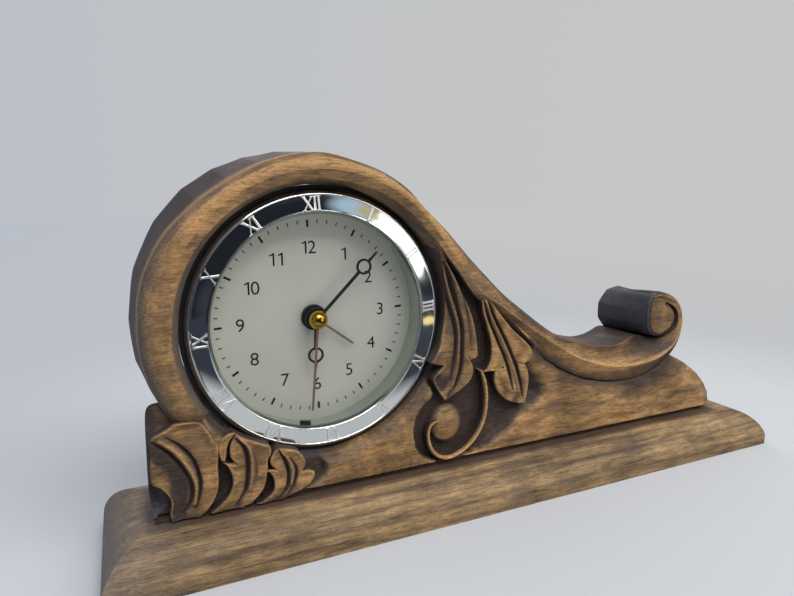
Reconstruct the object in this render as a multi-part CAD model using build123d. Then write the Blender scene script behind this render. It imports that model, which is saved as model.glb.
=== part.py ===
"""Carved wooden desk clock: a moulded plinth, a carved body and a drop-in alarm clock insert.

Sizes are in millimetres. X runs to the right as seen from the front, Y runs back, Z up.
The origin is the middle of the plinth's underside.
"""

import os
from math import cos, radians, sin, sqrt

from build123d import *

# Plinth
plinth_length = 327.0
plinth_depth = 66.5
plinth_height = 18.6
plinth_band_height = 5.3
plinth_moulding_radius = 17.5

# Carved body, measured from the dial's axis where it says reach
body_thickness = 34.0
body_set_forward = 0.8
block_setback = 1.5
body_right_reach = 216.0
dial_offset = 77.8
dial_height = 87.5
arch_radius = 68.0
ring_flare = 2.0
block_height = 66.0
block_overhang = 1.0
foot_groove_height = 1.3
foot_groove_depth = 1.6
ground_depth = 1.5
pocket_depth = 6.0
leaf_setback = 0.5
vein_width = 1.1
vein_depth = 1.6
curl_width = 1.9
ring_crest_inset = 5.5
ring_crease_depth = 5.2
ring_flare_depth = 16.0
ring_sweep = 165.0
ring_start_angle = -40.0
slope_bevel_width = 6.0
slope_bevel_depth = 4.0
cut_overrun = 3.0

# Scroll at the right end
scroll_reach = 177.0
scroll_height = 72.6
scroll_radius = 13.4
scroll_core_radius = 8.2
scroll_gap_width = 2.4
scroll_gap_depth = 10.0

# Hole for the clock insert
hole_fit = 0.5
hole_bevel_width = 2.6
hole_bevel_depth = 4.6

# Screws from the plinth into the body
wood_screw_radius = 2.0
wood_screw_head_radius = 4.0
wood_screw_head_depth = 2.6
wood_screw_length = 34.0
wood_screw_sinking = 1.0
wood_screw_spacing = 92.0
wood_screw_clearance = 0.25

# Insert: depths are measured back from the bezel's rim
rim_setback = 5.0
rim_radius = 50.0
bezel_radius = 52.0
bezel_round = 1.8
bezel_depth = 3.4
bezel_face = 0.9
bezel_wall = 1.2
bezel_band_inner_radius = 43.3
bezel_band_dish = 0.4
bezel_lip_radius = 41.6
bezel_lip_rise = 0.25
case_fit = 0.1
case_flange_lap = 1.5
case_flange_thickness = 3.0
case_radius = 48.6
case_wall = 2.0
case_back_depth = 31.5
crystal_thickness = 1.0
crystal_clearance = 0.3
dial_depth = 13.1
dial_thickness = 0.6
dial_ledge_width = 2.6
reflector_draw = 1.6
ledge_thickness = 1.5
grip_ring_thickness = 1.4
grip_ring_front = 9.0
grip_ring_back = 15.0

# Rear cover, its screws and the parts that are worked from behind
cover_thickness = 2.0
cover_edge_round = 0.8
boss_radius = 3.2
boss_inset = 2.6
boss_angle = 20.0
boss_length = 9.0
case_screw_radius = 1.1
case_screw_head_radius = 2.2
case_screw_head_height = 1.3
case_screw_length = 7.0
sound_slot_width = 1.6
sound_slot_length = 12.0
sound_slot_pitch = 3.4
sound_slot_count = 3
door_clearance = 0.3
door_seat_gap = 0.1
door_lap = 1.0
door_grip_width = 14.0
door_grip_height = 2.4
door_grip_depth = 0.8
knob_radius = 5.2
knob_height = 5.5
knob_gap = 0.6
knob_groove_count = 18
knob_groove_radius = 0.5
switch_travel = 4.0
switch_tab_length = 3.0
switch_tab_width = 2.4
switch_tab_height = 1.8
switch_plate_length = 11.5
switch_plate_width = 5.0
switch_across = 14.0
switch_up = 20.0
slide_clearance = 0.2
buzzer_radius = 8.0
buzzer_thickness = 3.2
buzzer_up = 37.0

# Battery
cell_radius = 7.1
cell_length = 49.3
cell_button_radius = 2.75
cell_button_length = 1.2
cell_down = 22.0
bay_height = 15.0
contact_thickness = 0.4
contact_width = 8.0
spring_radius = 4.0
spring_wire_radius = 0.4
spring_turns = 3

# Movement box
movement_width = 57.0
movement_top = 27.5
movement_bottom = 31.5
movement_wall = 1.5
plate_thickness = 2.0
movement_depth = 16.5

# Hand tubes, from the inside outwards
running_fit = 0.05
arbor_radius = 0.45
minute_tube_radius = 1.1
hour_tube_radius = 1.75
alarm_tube_radius = 2.4
bush_radius = 3.6
nut_radius = 5.2
nut_thickness = 2.0
bush_front = 10.9

# Wheels
wheel_width = 0.8
level_start = 16.1
level_step = 1.5
arbor_end_gap = 0.3
stud_radius = 0.5
axle_radius = 0.6
set_shaft_radius = 1.2
third_distance = 13.0
fifth_distance = 9.6
rotor_distance = 10.0
motion_distance = 11.0
alarm_distance = 16.0
magnet_radius = 2.4
magnet_thickness = 1.8
rotor_gap = 0.4
stator_thickness = 0.8
stator_rim = 1.6
stator_arm_width = 3.0
coil_across = 23.0
coil_up = 4.0
coil_length = 18.0
coil_radius = 3.1
coil_flange_radius = 3.9
coil_flange_thickness = 0.8
coil_core_width = 3.0
board_width = 14.0
board_height = 15.0
board_thickness = 0.8
board_across = 18.0
board_up = 16.0
board_post_radius = 1.2

# Tooth counts of the going train, the motion work and the alarm drive
rotor_teeth, fifth_teeth = 8, 48
fifth_pinion_teeth, seconds_teeth = 8, 40
seconds_pinion_teeth, third_teeth = 8, 64
third_pinion_teeth, centre_teeth = 8, 60
minute_pinion_teeth, motion_teeth = 12, 36
motion_pinion_teeth, hour_teeth = 10, 40
time_pinion_teeth = 12
alarm_teeth, alarm_pinion_teeth = 32, 32

# Directions between axes, in degrees from +X towards +Z
third_direction = 90.0
fifth_direction = 30.0
rotor_direction = 45.0
motion_direction = 200.0
time_shaft_direction = 150.0
alarm_direction = -10.0

# Tooth form, as shares of the module or of the pitch
tip_height_share = 0.65
root_depth_share = 0.85
tip_width_share = 0.16
pitch_width_share = 0.33
root_width_share = 0.42

# Hands
hand_thickness = 0.45
second_hand_depth = 5.6
second_hand_length = 37.8
second_hand_width = 0.9
second_boss_radius = 2.0
cap_radius = 3.8
cap_height = 2.8
cap_skirt = 0.5
minute_hand_depth = 6.6
minute_hand_length = 36.9
minute_hand_width = 1.3
minute_ring_reach = 28.7
minute_boss_radius = 2.8
hour_hand_depth = 8.5
hour_hand_length = 21.6
hour_hand_width = 1.6
hour_ring_reach = 15.2
hour_boss_radius = 4.4
hour_boss_length = 1.2
hand_ring_radius = 3.3
hand_ring_width = 0.9
hand_tip_width = 0.6
alarm_hand_depth = 10.2
alarm_hand_length = 20.5
alarm_hand_width = 1.0
alarm_boss_radius = 3.4
minute_hand_angle = 45.3
hour_hand_angle = 182.5
second_hand_angle = 185.5
alarm_hand_angle = 127.5

# Outline of the slope and dip: shares of scroll_reach and of the ring's height over the plinth
slope_shares = [
    (0.106, 0.985),
    (0.199, 0.915),
    (0.275, 0.811),
    (0.350, 0.711),
    (0.435, 0.596),
    (0.525, 0.494),
    (0.616, 0.414),
    (0.684, 0.368),
    (0.757, 0.336),
    (0.831, 0.322),
    (0.876, 0.326),
]
slope_start_angle = 5.0
scroll_entry_angle = 205.0
scroll_exit_angle = -20.0

# Right end below the scroll: shares of body_right_reach and of the scroll's height over the plinth
end_shares = [(0.853, 0.674), (0.867, 0.548), (0.926, 0.413), (0.972, 0.244), (0.993, 0.144)]

# Lower edge of the ribbon: shares of scroll_reach and of the scroll's height over the plinth
ribbon_shares = [
    (1.041, 0.674),
    (1.011, 0.607),
    (0.960, 0.539),
    (0.910, 0.498),
    (0.853, 0.478),
    (0.791, 0.489),
    (0.723, 0.515),
    (0.672, 0.591),
    (0.621, 0.707),
    (0.593, 0.794),
    (0.565, 0.915),
    (0.537, 1.017),
]

# Carving, measured from the dial's axis: shares across of ring_radius and up of foot_drop
right_pocket_shares = [
    (0.775, 0.410),
    (0.905, 0.290),
    (1.050, 0.120),
    (1.195, 0.030),
    (1.330, -0.110),
    (1.470, -0.235),
    (1.560, -0.355),
    (1.630, -0.515),
    (1.620, -0.645),
    (1.545, -0.760),
    (1.425, -0.845),
    (1.270, -0.875),
    (1.120, -0.935),
    (0.940, -0.970),
    (0.730, -0.970),
    (0.630, -0.875),
    (0.585, -0.745),
    (0.600, -0.615),
    (0.665, -0.510),
    (0.735, -0.420),
    (0.790, -0.355),
    (0.835, -0.180),
    (0.835, 0.040),
    (0.815, 0.255),
]
leaf_one_shares = [
    (0.770, 0.400),
    (0.860, 0.240),
    (0.940, 0.095),
    (1.000, -0.050),
    (1.040, -0.190),
    (1.045, -0.305),
    (0.990, -0.295),
    (1.010, -0.375),
    (0.955, -0.460),
    (0.780, -0.550),
    (0.705, -0.430),
    (0.795, -0.335),
    (0.700, -0.320),
    (0.750, -0.170),
    (0.770, 0.010),
    (0.770, 0.180),
]
leaf_one_vein_shares = [
    (0.785, 0.315),
    (0.850, 0.095),
    (0.885, -0.145),
    (0.880, -0.335),
    (0.810, -0.500),
]
leaf_two_shares = [
    (1.060, 0.085),
    (1.210, -0.020),
    (1.330, -0.170),
    (1.440, -0.260),
    (1.480, -0.340),
    (1.430, -0.400),
    (1.450, -0.515),
    (1.425, -0.670),
    (1.290, -0.620),
    (1.180, -0.490),
    (1.175, -0.405),
    (1.085, -0.410),
    (1.135, -0.355),
    (1.130, -0.225),
    (1.105, -0.110),
]
leaf_two_vein_shares = [(1.085, 0.040), (1.190, -0.170), (1.290, -0.345), (1.400, -0.615)]
curl_shares = [
    (1.070, -0.410),
    (1.120, -0.545),
    (1.115, -0.675),
    (1.070, -0.765),
    (0.985, -0.870),
    (0.880, -0.945),
    (0.770, -0.945),
    (0.690, -0.860),
    (0.665, -0.765),
    (0.705, -0.710),
    (0.760, -0.695),
]
curl_ball_share = (0.815, -0.715)
curl_ball_radius_share = 0.115
left_pocket_shares = [
    (-0.980, -0.450),
    (-0.760, -0.435),
    (-0.665, -0.515),
    (-0.560, -0.545),
    (-0.425, -0.630),
    (-0.305, -0.670),
    (-0.150, -0.720),
    (-0.045, -0.760),
    (0.010, -0.835),
    (-0.010, -0.915),
    (-0.075, -0.970),
    (-0.960, -0.970),
]
leaf_a_shares = [
    (-0.975, -0.500),
    (-0.880, -0.455),
    (-0.800, -0.450),
    (-0.735, -0.500),
    (-0.690, -0.575),
    (-0.665, -0.670),
    (-0.660, -0.765),
    (-0.680, -0.860),
    (-0.740, -0.965),
    (-0.960, -0.965),
    (-0.930, -0.890),
    (-0.940, -0.805),
    (-0.985, -0.755),
]
leaf_a_vein_shares = [(-0.900, -0.525), (-0.810, -0.660), (-0.775, -0.795), (-0.800, -0.920)]
leaf_b_shares = [
    (-0.660, -0.585),
    (-0.600, -0.565),
    (-0.540, -0.565),
    (-0.490, -0.660),
    (-0.470, -0.775),
    (-0.500, -0.890),
    (-0.590, -0.965),
    (-0.650, -0.965),
    (-0.600, -0.870),
    (-0.600, -0.765),
    (-0.645, -0.690),
]
leaf_b_vein_shares = [(-0.565, -0.615), (-0.515, -0.765), (-0.560, -0.920)]
leaf_c_shares = [
    (-0.335, -0.690),
    (-0.260, -0.745),
    (-0.210, -0.785),
    (-0.150, -0.845),
    (-0.090, -0.855),
    (-0.120, -0.930),
    (-0.250, -0.965),
    (-0.390, -0.965),
    (-0.345, -0.890),
    (-0.350, -0.825),
    (-0.390, -0.785),
]
leaf_c_vein_shares = [(-0.320, -0.740), (-0.245, -0.845), (-0.280, -0.930)]

leaves = [
    (leaf_one_shares, leaf_one_vein_shares),
    (leaf_two_shares, leaf_two_vein_shares),
    (leaf_a_shares, leaf_a_vein_shares),
    (leaf_b_shares, leaf_b_vein_shares),
    (leaf_c_shares, leaf_c_vein_shares),
]
left_ground_share = 0.06
slope_step_shares = [(1.0, 0.3), (0.6, 0.65), (0.25, 1.0)]

# Places that follow from the sizes above
dial_x = -dial_offset
foot_drop = dial_height - plinth_height
ring_radius = arch_radius - ring_flare
ring_crest_radius = ring_radius - ring_crest_inset
body_left_reach = arch_radius - block_setback
body_front = -body_thickness / 2 - body_set_forward
body_back = body_front + body_thickness
rim_y = body_front + rim_setback
case_flange_radius = bezel_radius + case_flange_lap
hole_radius = case_flange_radius + hole_fit
through_radius = case_radius + grip_ring_thickness
boss_reach = case_radius - case_wall - boss_inset
dial_view_radius = case_radius - case_wall - dial_ledge_width
reflector_front_radius = dial_view_radius - reflector_draw
ring_height = dial_height + ring_radius - plinth_height
scroll_rise = scroll_height - plinth_height
case_flange_back = bezel_depth + case_fit + case_flange_thickness
cover_back = case_back_depth + cover_thickness
plate_front = dial_depth + dial_thickness
cavity_front = plate_front + plate_thickness
movement_back = plate_front + movement_depth
cavity_back = movement_back - movement_wall
cell_depth = cavity_front + cell_radius
dial_axis = Axis((dial_x, 0, dial_height), (0, 1, 0))


def side_point(across, up, y):
    """A point given across from the dial's axis and above the table."""
    return (dial_x + across, y, up)


def carved_points(shares, y):
    """Carving points, given as shares of the ring's radius and of the drop to the foot."""
    return [side_point(a * ring_radius, dial_height + b * foot_drop, y) for a, b in shares]


def turned(angle, radius):
    """Across and up of a point at an angle from +X towards +Z."""
    return radius * cos(radians(angle)), radius * sin(radians(angle))


def prism(edges, depth):
    """Extrude a closed outline that lies across Y straight back by a depth."""
    return extrude(make_face(edges), amount=depth, dir=(0, 1, 0))


def rod(place, radius, front, back):
    """A round bar along Y; place is across and up from the dial's axis, depths from the rim."""
    start = (dial_x + place[0], rim_y + front, dial_height + place[1])
    return extrude(Plane(start, z_dir=(0, 1, 0)) * Circle(radius), amount=back - front)


def tube(place, outer, inner, front, back):
    """A round tube along Y."""
    return rod(place, outer, front, back) - rod(place, inner, front, back)


def bar(left, right, low, high, front, back):
    """A rectangular block, given across and up from the dial's axis and in depth from the rim."""
    middle = ((left + right) / 2, (front + back) / 2, (low + high) / 2)
    at = Pos(dial_x + middle[0], rim_y + middle[1], dial_height + middle[2])
    return at * Box(right - left, back - front, high - low)


def turned_solid(profile, sweep=360.0):
    """Revolve (radius, depth) points about the dial's axis."""
    points = [(dial_x + radius, rim_y + depth, dial_height) for radius, depth in profile]
    return revolve(make_face(Polyline(*points, close=True)), dial_axis, sweep)


def level(number):
    """Front and back depth of one layer of wheels."""
    front = level_start + number * level_step
    return front, front + wheel_width


def module_of(distance, teeth, mate_teeth):
    """Module that puts two wheels in mesh at a distance."""
    return 2 * distance / (teeth + mate_teeth)


def mesh_phase(phase, teeth, direction, mate_teeth):
    """Phase of the mating wheel, so that its gap faces the tooth at the pitch point."""
    share = ((direction - phase) * teeth / 360.0) % 1.0
    return direction + 180.0 + (share - 0.5) * 360.0 / mate_teeth


def toothed(place, teeth, module, phase, front, back):
    """A toothed disc with straight-flanked teeth; one tooth points along phase."""
    pitch_radius = module * teeth / 2
    pitch_angle = 360.0 / teeth
    rows = [
        (pitch_radius - root_depth_share * module, root_width_share),
        (pitch_radius, pitch_width_share),
        (pitch_radius + tip_height_share * module, tip_width_share),
    ]
    flank = [(radius, -width / 2) for radius, width in rows]
    flank += [(radius, width / 2) for radius, width in reversed(rows)]
    points = []
    for tooth in range(teeth):
        for radius, share in flank:
            across, up = turned(phase + (tooth + share) * pitch_angle, radius)
            points.append((dial_x + place[0] + across, rim_y + front, dial_height + place[1] + up))
    return prism(Polyline(*points, close=True), back - front)


def root_radius(teeth, module):
    """Radius at the foot of the teeth."""
    return module * (teeth / 2 - root_depth_share)


def band(points, width):
    """Closed outline of a band of one width that follows a line of points."""
    left, right = [], []
    for number, point in enumerate(points):
        before = points[max(number - 1, 0)]
        after = points[min(number + 1, len(points) - 1)]
        run_x, run_z = after[0] - before[0], after[2] - before[2]
        length = sqrt(run_x**2 + run_z**2)
        step_x, step_z = -run_z / length * width / 2, run_x / length * width / 2
        left.append((point[0] + step_x, point[1], point[2] + step_z))
        right.append((point[0] - step_x, point[1], point[2] - step_z))
    right.reverse()
    sides = [Spline(*left), Spline(*right)]
    ends = [Line(left[-1], right[0]), Line(right[-1], left[0])]
    return [sides[0], ends[0], sides[1], ends[1]]


def plinth():
    """Flat board with a rounded moulding worked on all four sides, and three screw holes."""
    arc_low = plinth_band_height - (plinth_height - plinth_moulding_radius)
    reach = sqrt(plinth_moulding_radius**2 - arc_low**2)
    half_turn = radians(45.0)
    middle_in = reach - plinth_moulding_radius * cos(half_turn)
    middle_up = plinth_height - plinth_moulding_radius * (1 - sin(half_turn))

    def section(half, at):
        top = plinth_height
        points = [at(-half, 0), at(half, 0), at(half, plinth_band_height), at(half - reach, top)]
        points += [at(reach - half, top), at(-half, plinth_band_height)]
        right_middle = at(half - middle_in, middle_up)
        left_middle = at(middle_in - half, middle_up)
        return [
            Line(points[0], points[1]),
            Line(points[1], points[2]),
            ThreePointArc(points[2], right_middle, points[3]),
            Line(points[3], points[4]),
            ThreePointArc(points[4], left_middle, points[5]),
            Line(points[5], points[0]),
        ]

    half_length, half_depth = plinth_length / 2, plinth_depth / 2
    long_way = make_face(section(half_depth, lambda s, z: (-half_length, s, z)))
    cross_way = make_face(section(half_length, lambda s, z: (s, -half_depth, z)))
    board = extrude(long_way, amount=plinth_length, dir=(1, 0, 0))
    board &= extrude(cross_way, amount=plinth_depth, dir=(0, 1, 0))
    for x in screw_places():
        board -= wood_screw(x, wood_screw_clearance, plinth_height)
    return board


def screw_places():
    """Places of the wood screws along X, about the middle of the body."""
    middle = dial_x + (body_right_reach - body_left_reach) / 2
    return [middle - wood_screw_spacing, middle, middle + wood_screw_spacing]


def wood_screw(x, clearance, top):
    """One countersunk screw standing on its head, grown all round by a clearance."""
    middle_y = (body_front + body_back) / 2
    low = wood_screw_sinking if clearance == 0 else 0
    at = Pos(x, middle_y, low)
    head_radius = wood_screw_head_radius + clearance
    shank_radius = wood_screw_radius + clearance
    align = (Align.CENTER, Align.CENTER, Align.MIN)
    head_low = wood_screw_sinking - low
    screw = at * Cylinder(shank_radius, top - low, align=align)
    if head_low > 0:
        screw += at * Cylinder(head_radius, head_low, align=align)
    cone = Cone(head_radius, shank_radius, wood_screw_head_depth, align=align)
    return screw + Pos(x, middle_y, wood_screw_sinking) * cone


def plinth_screws():
    """Three wood screws that hold the body down on the plinth."""
    top = wood_screw_sinking + wood_screw_length
    return [wood_screw(x, 0, top) for x in screw_places()]


def body_outline():
    """Front outline of the body: block, arch, slope, dip, scroll and the rounded right end."""
    y = body_front
    foot_left = side_point(-body_left_reach, plinth_height, y)
    block_top = side_point(-body_left_reach + block_overhang, block_height, y)
    block_drop = block_height - dial_height
    arch_left = side_point(-sqrt(arch_radius**2 - block_drop**2), block_height, y)
    crown = side_point(0, dial_height + arch_radius, y)
    across, up = turned(90.0 - slope_start_angle, arch_radius)
    arch_end = side_point(across, dial_height + up, y)
    slope = [side_point(a * scroll_reach, plinth_height + b * ring_height, y) for a, b in slope_shares]

    def scroll_point(angle):
        across, up = turned(angle, scroll_radius)
        return side_point(scroll_reach + across, scroll_height + up, y)

    entry, top, leave = (scroll_point(a) for a in (scroll_entry_angle, 90.0, scroll_exit_angle))
    end = [side_point(a * body_right_reach, plinth_height + b * scroll_rise, y) for a, b in end_shares]
    foot_right = side_point(body_right_reach, plinth_height, y)
    return [
        Line(foot_left, block_top),
        Line(block_top, arch_left),
        ThreePointArc(arch_left, crown, arch_end),
        Spline(arch_end, *slope, entry),
        ThreePointArc(entry, top, leave),
        Line(leave, end[0]),
        Line(end[0], end[1]),
        Spline(*end[1:], foot_right),
        Line(foot_right, foot_left),
    ]


def leaf(shares, vein_shares):
    """One carved leaf: a raised pad with a groove for its vein."""
    front = body_front + leaf_setback
    pad = prism(Polyline(*carved_points(shares, front), close=True), pocket_depth - leaf_setback)
    groove = band(carved_points(vein_shares, front), vein_width)
    return pad - prism(groove, vein_depth)


def ground_cut():
    """Shallow lowering of the plain face below the ribbon."""
    y = body_front
    edge = [side_point(a * scroll_reach, plinth_height + b * scroll_rise, y) for a, b in ribbon_shares]
    low = plinth_height + foot_groove_height
    right = body_right_reach + cut_overrun
    corners = [side_point(right, low, y), side_point(right, edge[0][2], y)]
    start = side_point(-body_left_reach * left_ground_share, low, y)
    top_left = side_point(edge[-1][0] - dial_x, edge[-1][2], y)
    sides = [
        Line(start, corners[0]),
        Line(corners[0], corners[1]),
        Line(corners[1], edge[0]),
        Spline(*edge),
        Line(top_left, start),
    ]
    return prism(sides, ground_depth)


def scroll_gap():
    """Hollow between the scroll's core and the ribbon that curls round it."""
    front = body_front - rim_y
    place = (scroll_reach, scroll_height - dial_height)
    outer = scroll_core_radius + scroll_gap_width
    ring = tube(place, outer, scroll_core_radius, front, front + scroll_gap_depth)
    keep = bar(
        scroll_reach,
        scroll_reach + outer,
        place[1] - outer,
        place[1] + outer,
        front,
        front + scroll_gap_depth,
    )
    return ring & keep


def slope_steps():
    """Steps that ease the front edge of the slope and the dip, from wide and shallow on."""
    points = [
        side_point(a * scroll_reach, plinth_height + b * ring_height, body_front)
        for a, b in slope_shares
    ]
    steps = []
    for width_share, depth_share in slope_step_shares:
        strip = band(points, 2 * width_share * slope_bevel_width)
        steps.append(prism(strip, depth_share * slope_bevel_depth))
    return steps


def carved_body():
    """The carved board with its relief, its hole for the insert and its screw holes."""
    body = prism(body_outline(), body_thickness)
    for step in slope_steps():
        body -= step
    body -= ground_cut()
    y = body_front
    body -= prism(Polyline(*carved_points(right_pocket_shares, y), close=True), pocket_depth)
    body -= prism(Polyline(*carved_points(left_pocket_shares, y), close=True), pocket_depth)
    for shares, vein in leaves:
        body += leaf(shares, vein)
    front = y + leaf_setback
    body += prism(band(carved_points(curl_shares, front), curl_width), pocket_depth - leaf_setback)
    ball = (curl_ball_share[0] * ring_radius, curl_ball_share[1] * foot_drop)
    ball_radius = curl_ball_radius_share * ring_radius
    depth = body_front - rim_y
    body += rod(ball, ball_radius, depth + leaf_setback, depth + pocket_depth)
    body -= scroll_gap()
    body -= ring_moulding_cut()
    body -= rod((0, 0), hole_radius, depth, case_flange_back)
    body -= rod((0, 0), through_radius, depth, body_back - rim_y)
    bevel = [
        (hole_radius, depth),
        (hole_radius + hole_bevel_width, depth),
        (hole_radius, depth + hole_bevel_depth),
    ]
    body -= turned_solid(bevel)
    groove_left = -body_left_reach - cut_overrun
    groove_right = body_right_reach + cut_overrun
    foot = plinth_height - dial_height
    body -= bar(
        groove_left,
        groove_right,
        foot,
        foot + foot_groove_height,
        depth,
        depth + foot_groove_depth,
    )
    for x in screw_places():
        body -= wood_screw(x, 0, wood_screw_sinking + wood_screw_length)
    return body


def ring_moulding_cut():
    """What is taken off the front of the arch to leave its rounded ring."""
    outer = arch_radius + cut_overrun
    flare = (outer - ring_radius) * ring_flare_depth / (arch_radius - ring_radius)
    half_turn = radians(45.0)
    crest = (dial_x + ring_crest_radius, body_front, dial_height)
    crease = (dial_x + ring_radius, body_front + ring_crease_depth, dial_height)
    middle_out = (ring_radius - ring_crest_radius) * cos(half_turn)
    middle_back = ring_crease_depth * (1 - sin(half_turn))
    middle = (crest[0] + middle_out, body_front + middle_back, dial_height)
    far = (dial_x + outer, crease[1] + flare, dial_height)
    corner = (dial_x + outer, body_front, dial_height)
    sides = [
        ThreePointArc(crest, middle, crease),
        Line(crease, far),
        Line(far, corner),
        Line(corner, crest),
    ]
    cutter = revolve(make_face(sides), dial_axis, -ring_sweep)
    return cutter.rotate(dial_axis, ring_start_angle)


def bezel():
    """Chrome ring with a flat numeral band, an inner lip and a skirt over the case."""
    lip_middle = (bezel_lip_radius + bezel_band_inner_radius) / 2
    round_x, round_y = turned(45.0, bezel_round)
    band_middle = (rim_radius + bezel_band_inner_radius) / 2
    profile = [
        (bezel_lip_radius, bezel_face),
        (bezel_lip_radius, bezel_lip_rise),
        (lip_middle, -bezel_lip_rise),
        (bezel_band_inner_radius, 0),
        (band_middle, bezel_band_dish),
        (rim_radius, 0),
        (bezel_radius - bezel_round + round_x, bezel_round - round_y),
        (bezel_radius, bezel_round),
        (bezel_radius, bezel_depth),
        (bezel_radius - bezel_wall, bezel_depth),
        (bezel_radius - bezel_wall, bezel_face),
    ]
    return turned_solid(profile)


def case_drum():
    """Black moulded case: spigot, flange, wall, dial ledge and four screw bosses."""
    spigot = bezel_radius - bezel_wall - case_fit
    bore = case_radius - case_wall
    profile = [
        (bore, bezel_face),
        (spigot, bezel_face),
        (spigot, bezel_depth + case_fit),
        (case_flange_radius, bezel_depth + case_fit),
        (case_flange_radius, case_flange_back),
        (case_radius, case_flange_back),
        (case_radius, case_back_depth),
        (bore, case_back_depth),
        (bore, plate_front + ledge_thickness),
        (dial_view_radius, plate_front + ledge_thickness),
        (dial_view_radius, plate_front),
        (bore, plate_front),
    ]
    drum = turned_solid(profile)
    shell = rod((0, 0), case_radius, case_back_depth - boss_length, case_back_depth)
    for place in boss_places():
        boss = rod(place, boss_radius, case_back_depth - boss_length, case_back_depth)
        drum += boss & shell
        drum -= rod(place, case_screw_radius, case_back_depth - case_screw_length, case_back_depth)
    return drum


def boss_places():
    """Places of the rear cover's four screws."""
    angles = [boss_angle, 180.0 - boss_angle, 180.0 + boss_angle, -boss_angle]
    return [turned(angle, boss_reach) for angle in angles]


def grip_ring():
    """Rubber ring that holds the case in the wooden hole."""
    return tube((0, 0), through_radius, case_radius, grip_ring_front, grip_ring_back)


def crystal():
    """Flat glass behind the bezel's lip."""
    radius = case_radius - case_wall - crystal_clearance
    return rod((0, 0), radius, bezel_face, bezel_face + crystal_thickness)


def reflector_ring():
    """Pale inner ring that spaces the glass from the dial."""
    outer = case_radius - case_wall - case_fit
    front = bezel_face + crystal_thickness
    profile = [
        (reflector_front_radius, front),
        (outer, front),
        (outer, dial_depth),
        (dial_view_radius, dial_depth),
    ]
    return turned_solid(profile)


def dial():
    """Dial plate with the hole for the hand tubes."""
    outer = case_radius - case_wall - case_fit
    return tube((0, 0), outer, bush_radius + running_fit, dial_depth, plate_front)


def dial_nut():
    """Round nut that clamps the dial on the movement's bush."""
    return tube((0, 0), nut_radius, bush_radius, dial_depth - nut_thickness, dial_depth)


def movement_plate():
    """Front half of the movement box: plate, bush and the stud of the motion wheel."""
    half = movement_width / 2
    plate = bar(-half, half, -movement_bottom, movement_top, plate_front, cavity_front)
    plate += rod((0, 0), bush_radius, bush_front, plate_front)
    plate -= rod((0, 0), alarm_tube_radius + running_fit, bush_front, cavity_front)
    motion_back = level(2)[1] + arbor_end_gap
    plate += rod(motion_place, stud_radius, cavity_front, motion_back)
    blind = plate_thickness / 2
    plate -= rod(third_place, axle_radius + running_fit, cavity_front - blind, cavity_front)
    for place in (time_place, alarm_place):
        hole = set_shaft_radius + running_fit
        plate -= rod(place, hole, cavity_front - blind, cavity_front)
    return plate


def movement_base():
    """Rear half of the movement box: walls, battery bay, bearings and studs."""
    half = movement_width / 2
    inside = half - movement_wall
    bay_top = -cell_down + bay_height / 2
    bay_low = -cell_down - bay_height / 2
    base = bar(-half, half, -movement_bottom, movement_top, cavity_front, movement_back)
    gear_low = bay_top + movement_wall
    base -= bar(-inside, inside, gear_low, movement_top - movement_wall, cavity_front, cavity_back)
    base -= bar(-inside, inside, bay_low, bay_top, cavity_front, movement_back)
    pivot = cavity_back + movement_wall / 2
    base -= rod((0, 0), arbor_radius + running_fit, cavity_back, pivot)
    base -= rod(third_place, axle_radius + running_fit, cavity_back, pivot)
    for place in (time_place, alarm_place):
        base -= rod(place, set_shaft_radius + running_fit, cavity_back, movement_back)
    base += rod(fifth_place, stud_radius, level(5)[0] - arbor_end_gap, cavity_back)
    base += rod(rotor_place, stud_radius, level(6)[0] - arbor_end_gap, cavity_back)
    board_back = board_front() + board_thickness
    for up in (board_up - board_height / 4, board_up + board_height / 4):
        base += rod((-board_across, up), board_post_radius, board_back, cavity_back)
    base += coil_saddle()
    return base


def board_front():
    """Depth of the circuit board's front face."""
    return level(7)[0]


def coil_saddle():
    """Two small posts under the ends of the coil's core."""
    posts = None
    for end in (-1, 1):
        place = (coil_across, coil_up + end * coil_core_reach())
        back = level(7)[0] + stator_thickness
        post = rod(place, stator_arm_width / 4, back, cavity_back)
        posts = post if posts is None else posts + post
    return posts


def coil_core_reach():
    """Half the length of the coil with its flanges, to the middle of the stator's arms."""
    return coil_length / 2 + coil_flange_thickness + stator_arm_width / 2


def motor_coil():
    """Copper coil with two flanges on a flat iron core."""
    front = level(7)[0] - stator_thickness
    back = level(7)[0]
    depth = (front + back) / 2
    low = dial_height + coil_up

    def spool(radius, start, length):
        at = (dial_x + coil_across, rim_y + depth - coil_flange_radius / 2, low + start)
        return extrude(Plane(at, z_dir=(0, 0, 1)) * Circle(radius), amount=length)

    half = coil_length / 2
    coil = spool(coil_radius, -half, coil_length)
    coil += spool(coil_flange_radius, -half - coil_flange_thickness, coil_flange_thickness)
    coil += spool(coil_flange_radius, half, coil_flange_thickness)
    core = coil_core_reach() + stator_arm_width / 2
    width = coil_core_width / 2
    coil += bar(
        coil_across - width, coil_across + width, coil_up - core, coil_up + core, front, back
    )
    return coil


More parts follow.
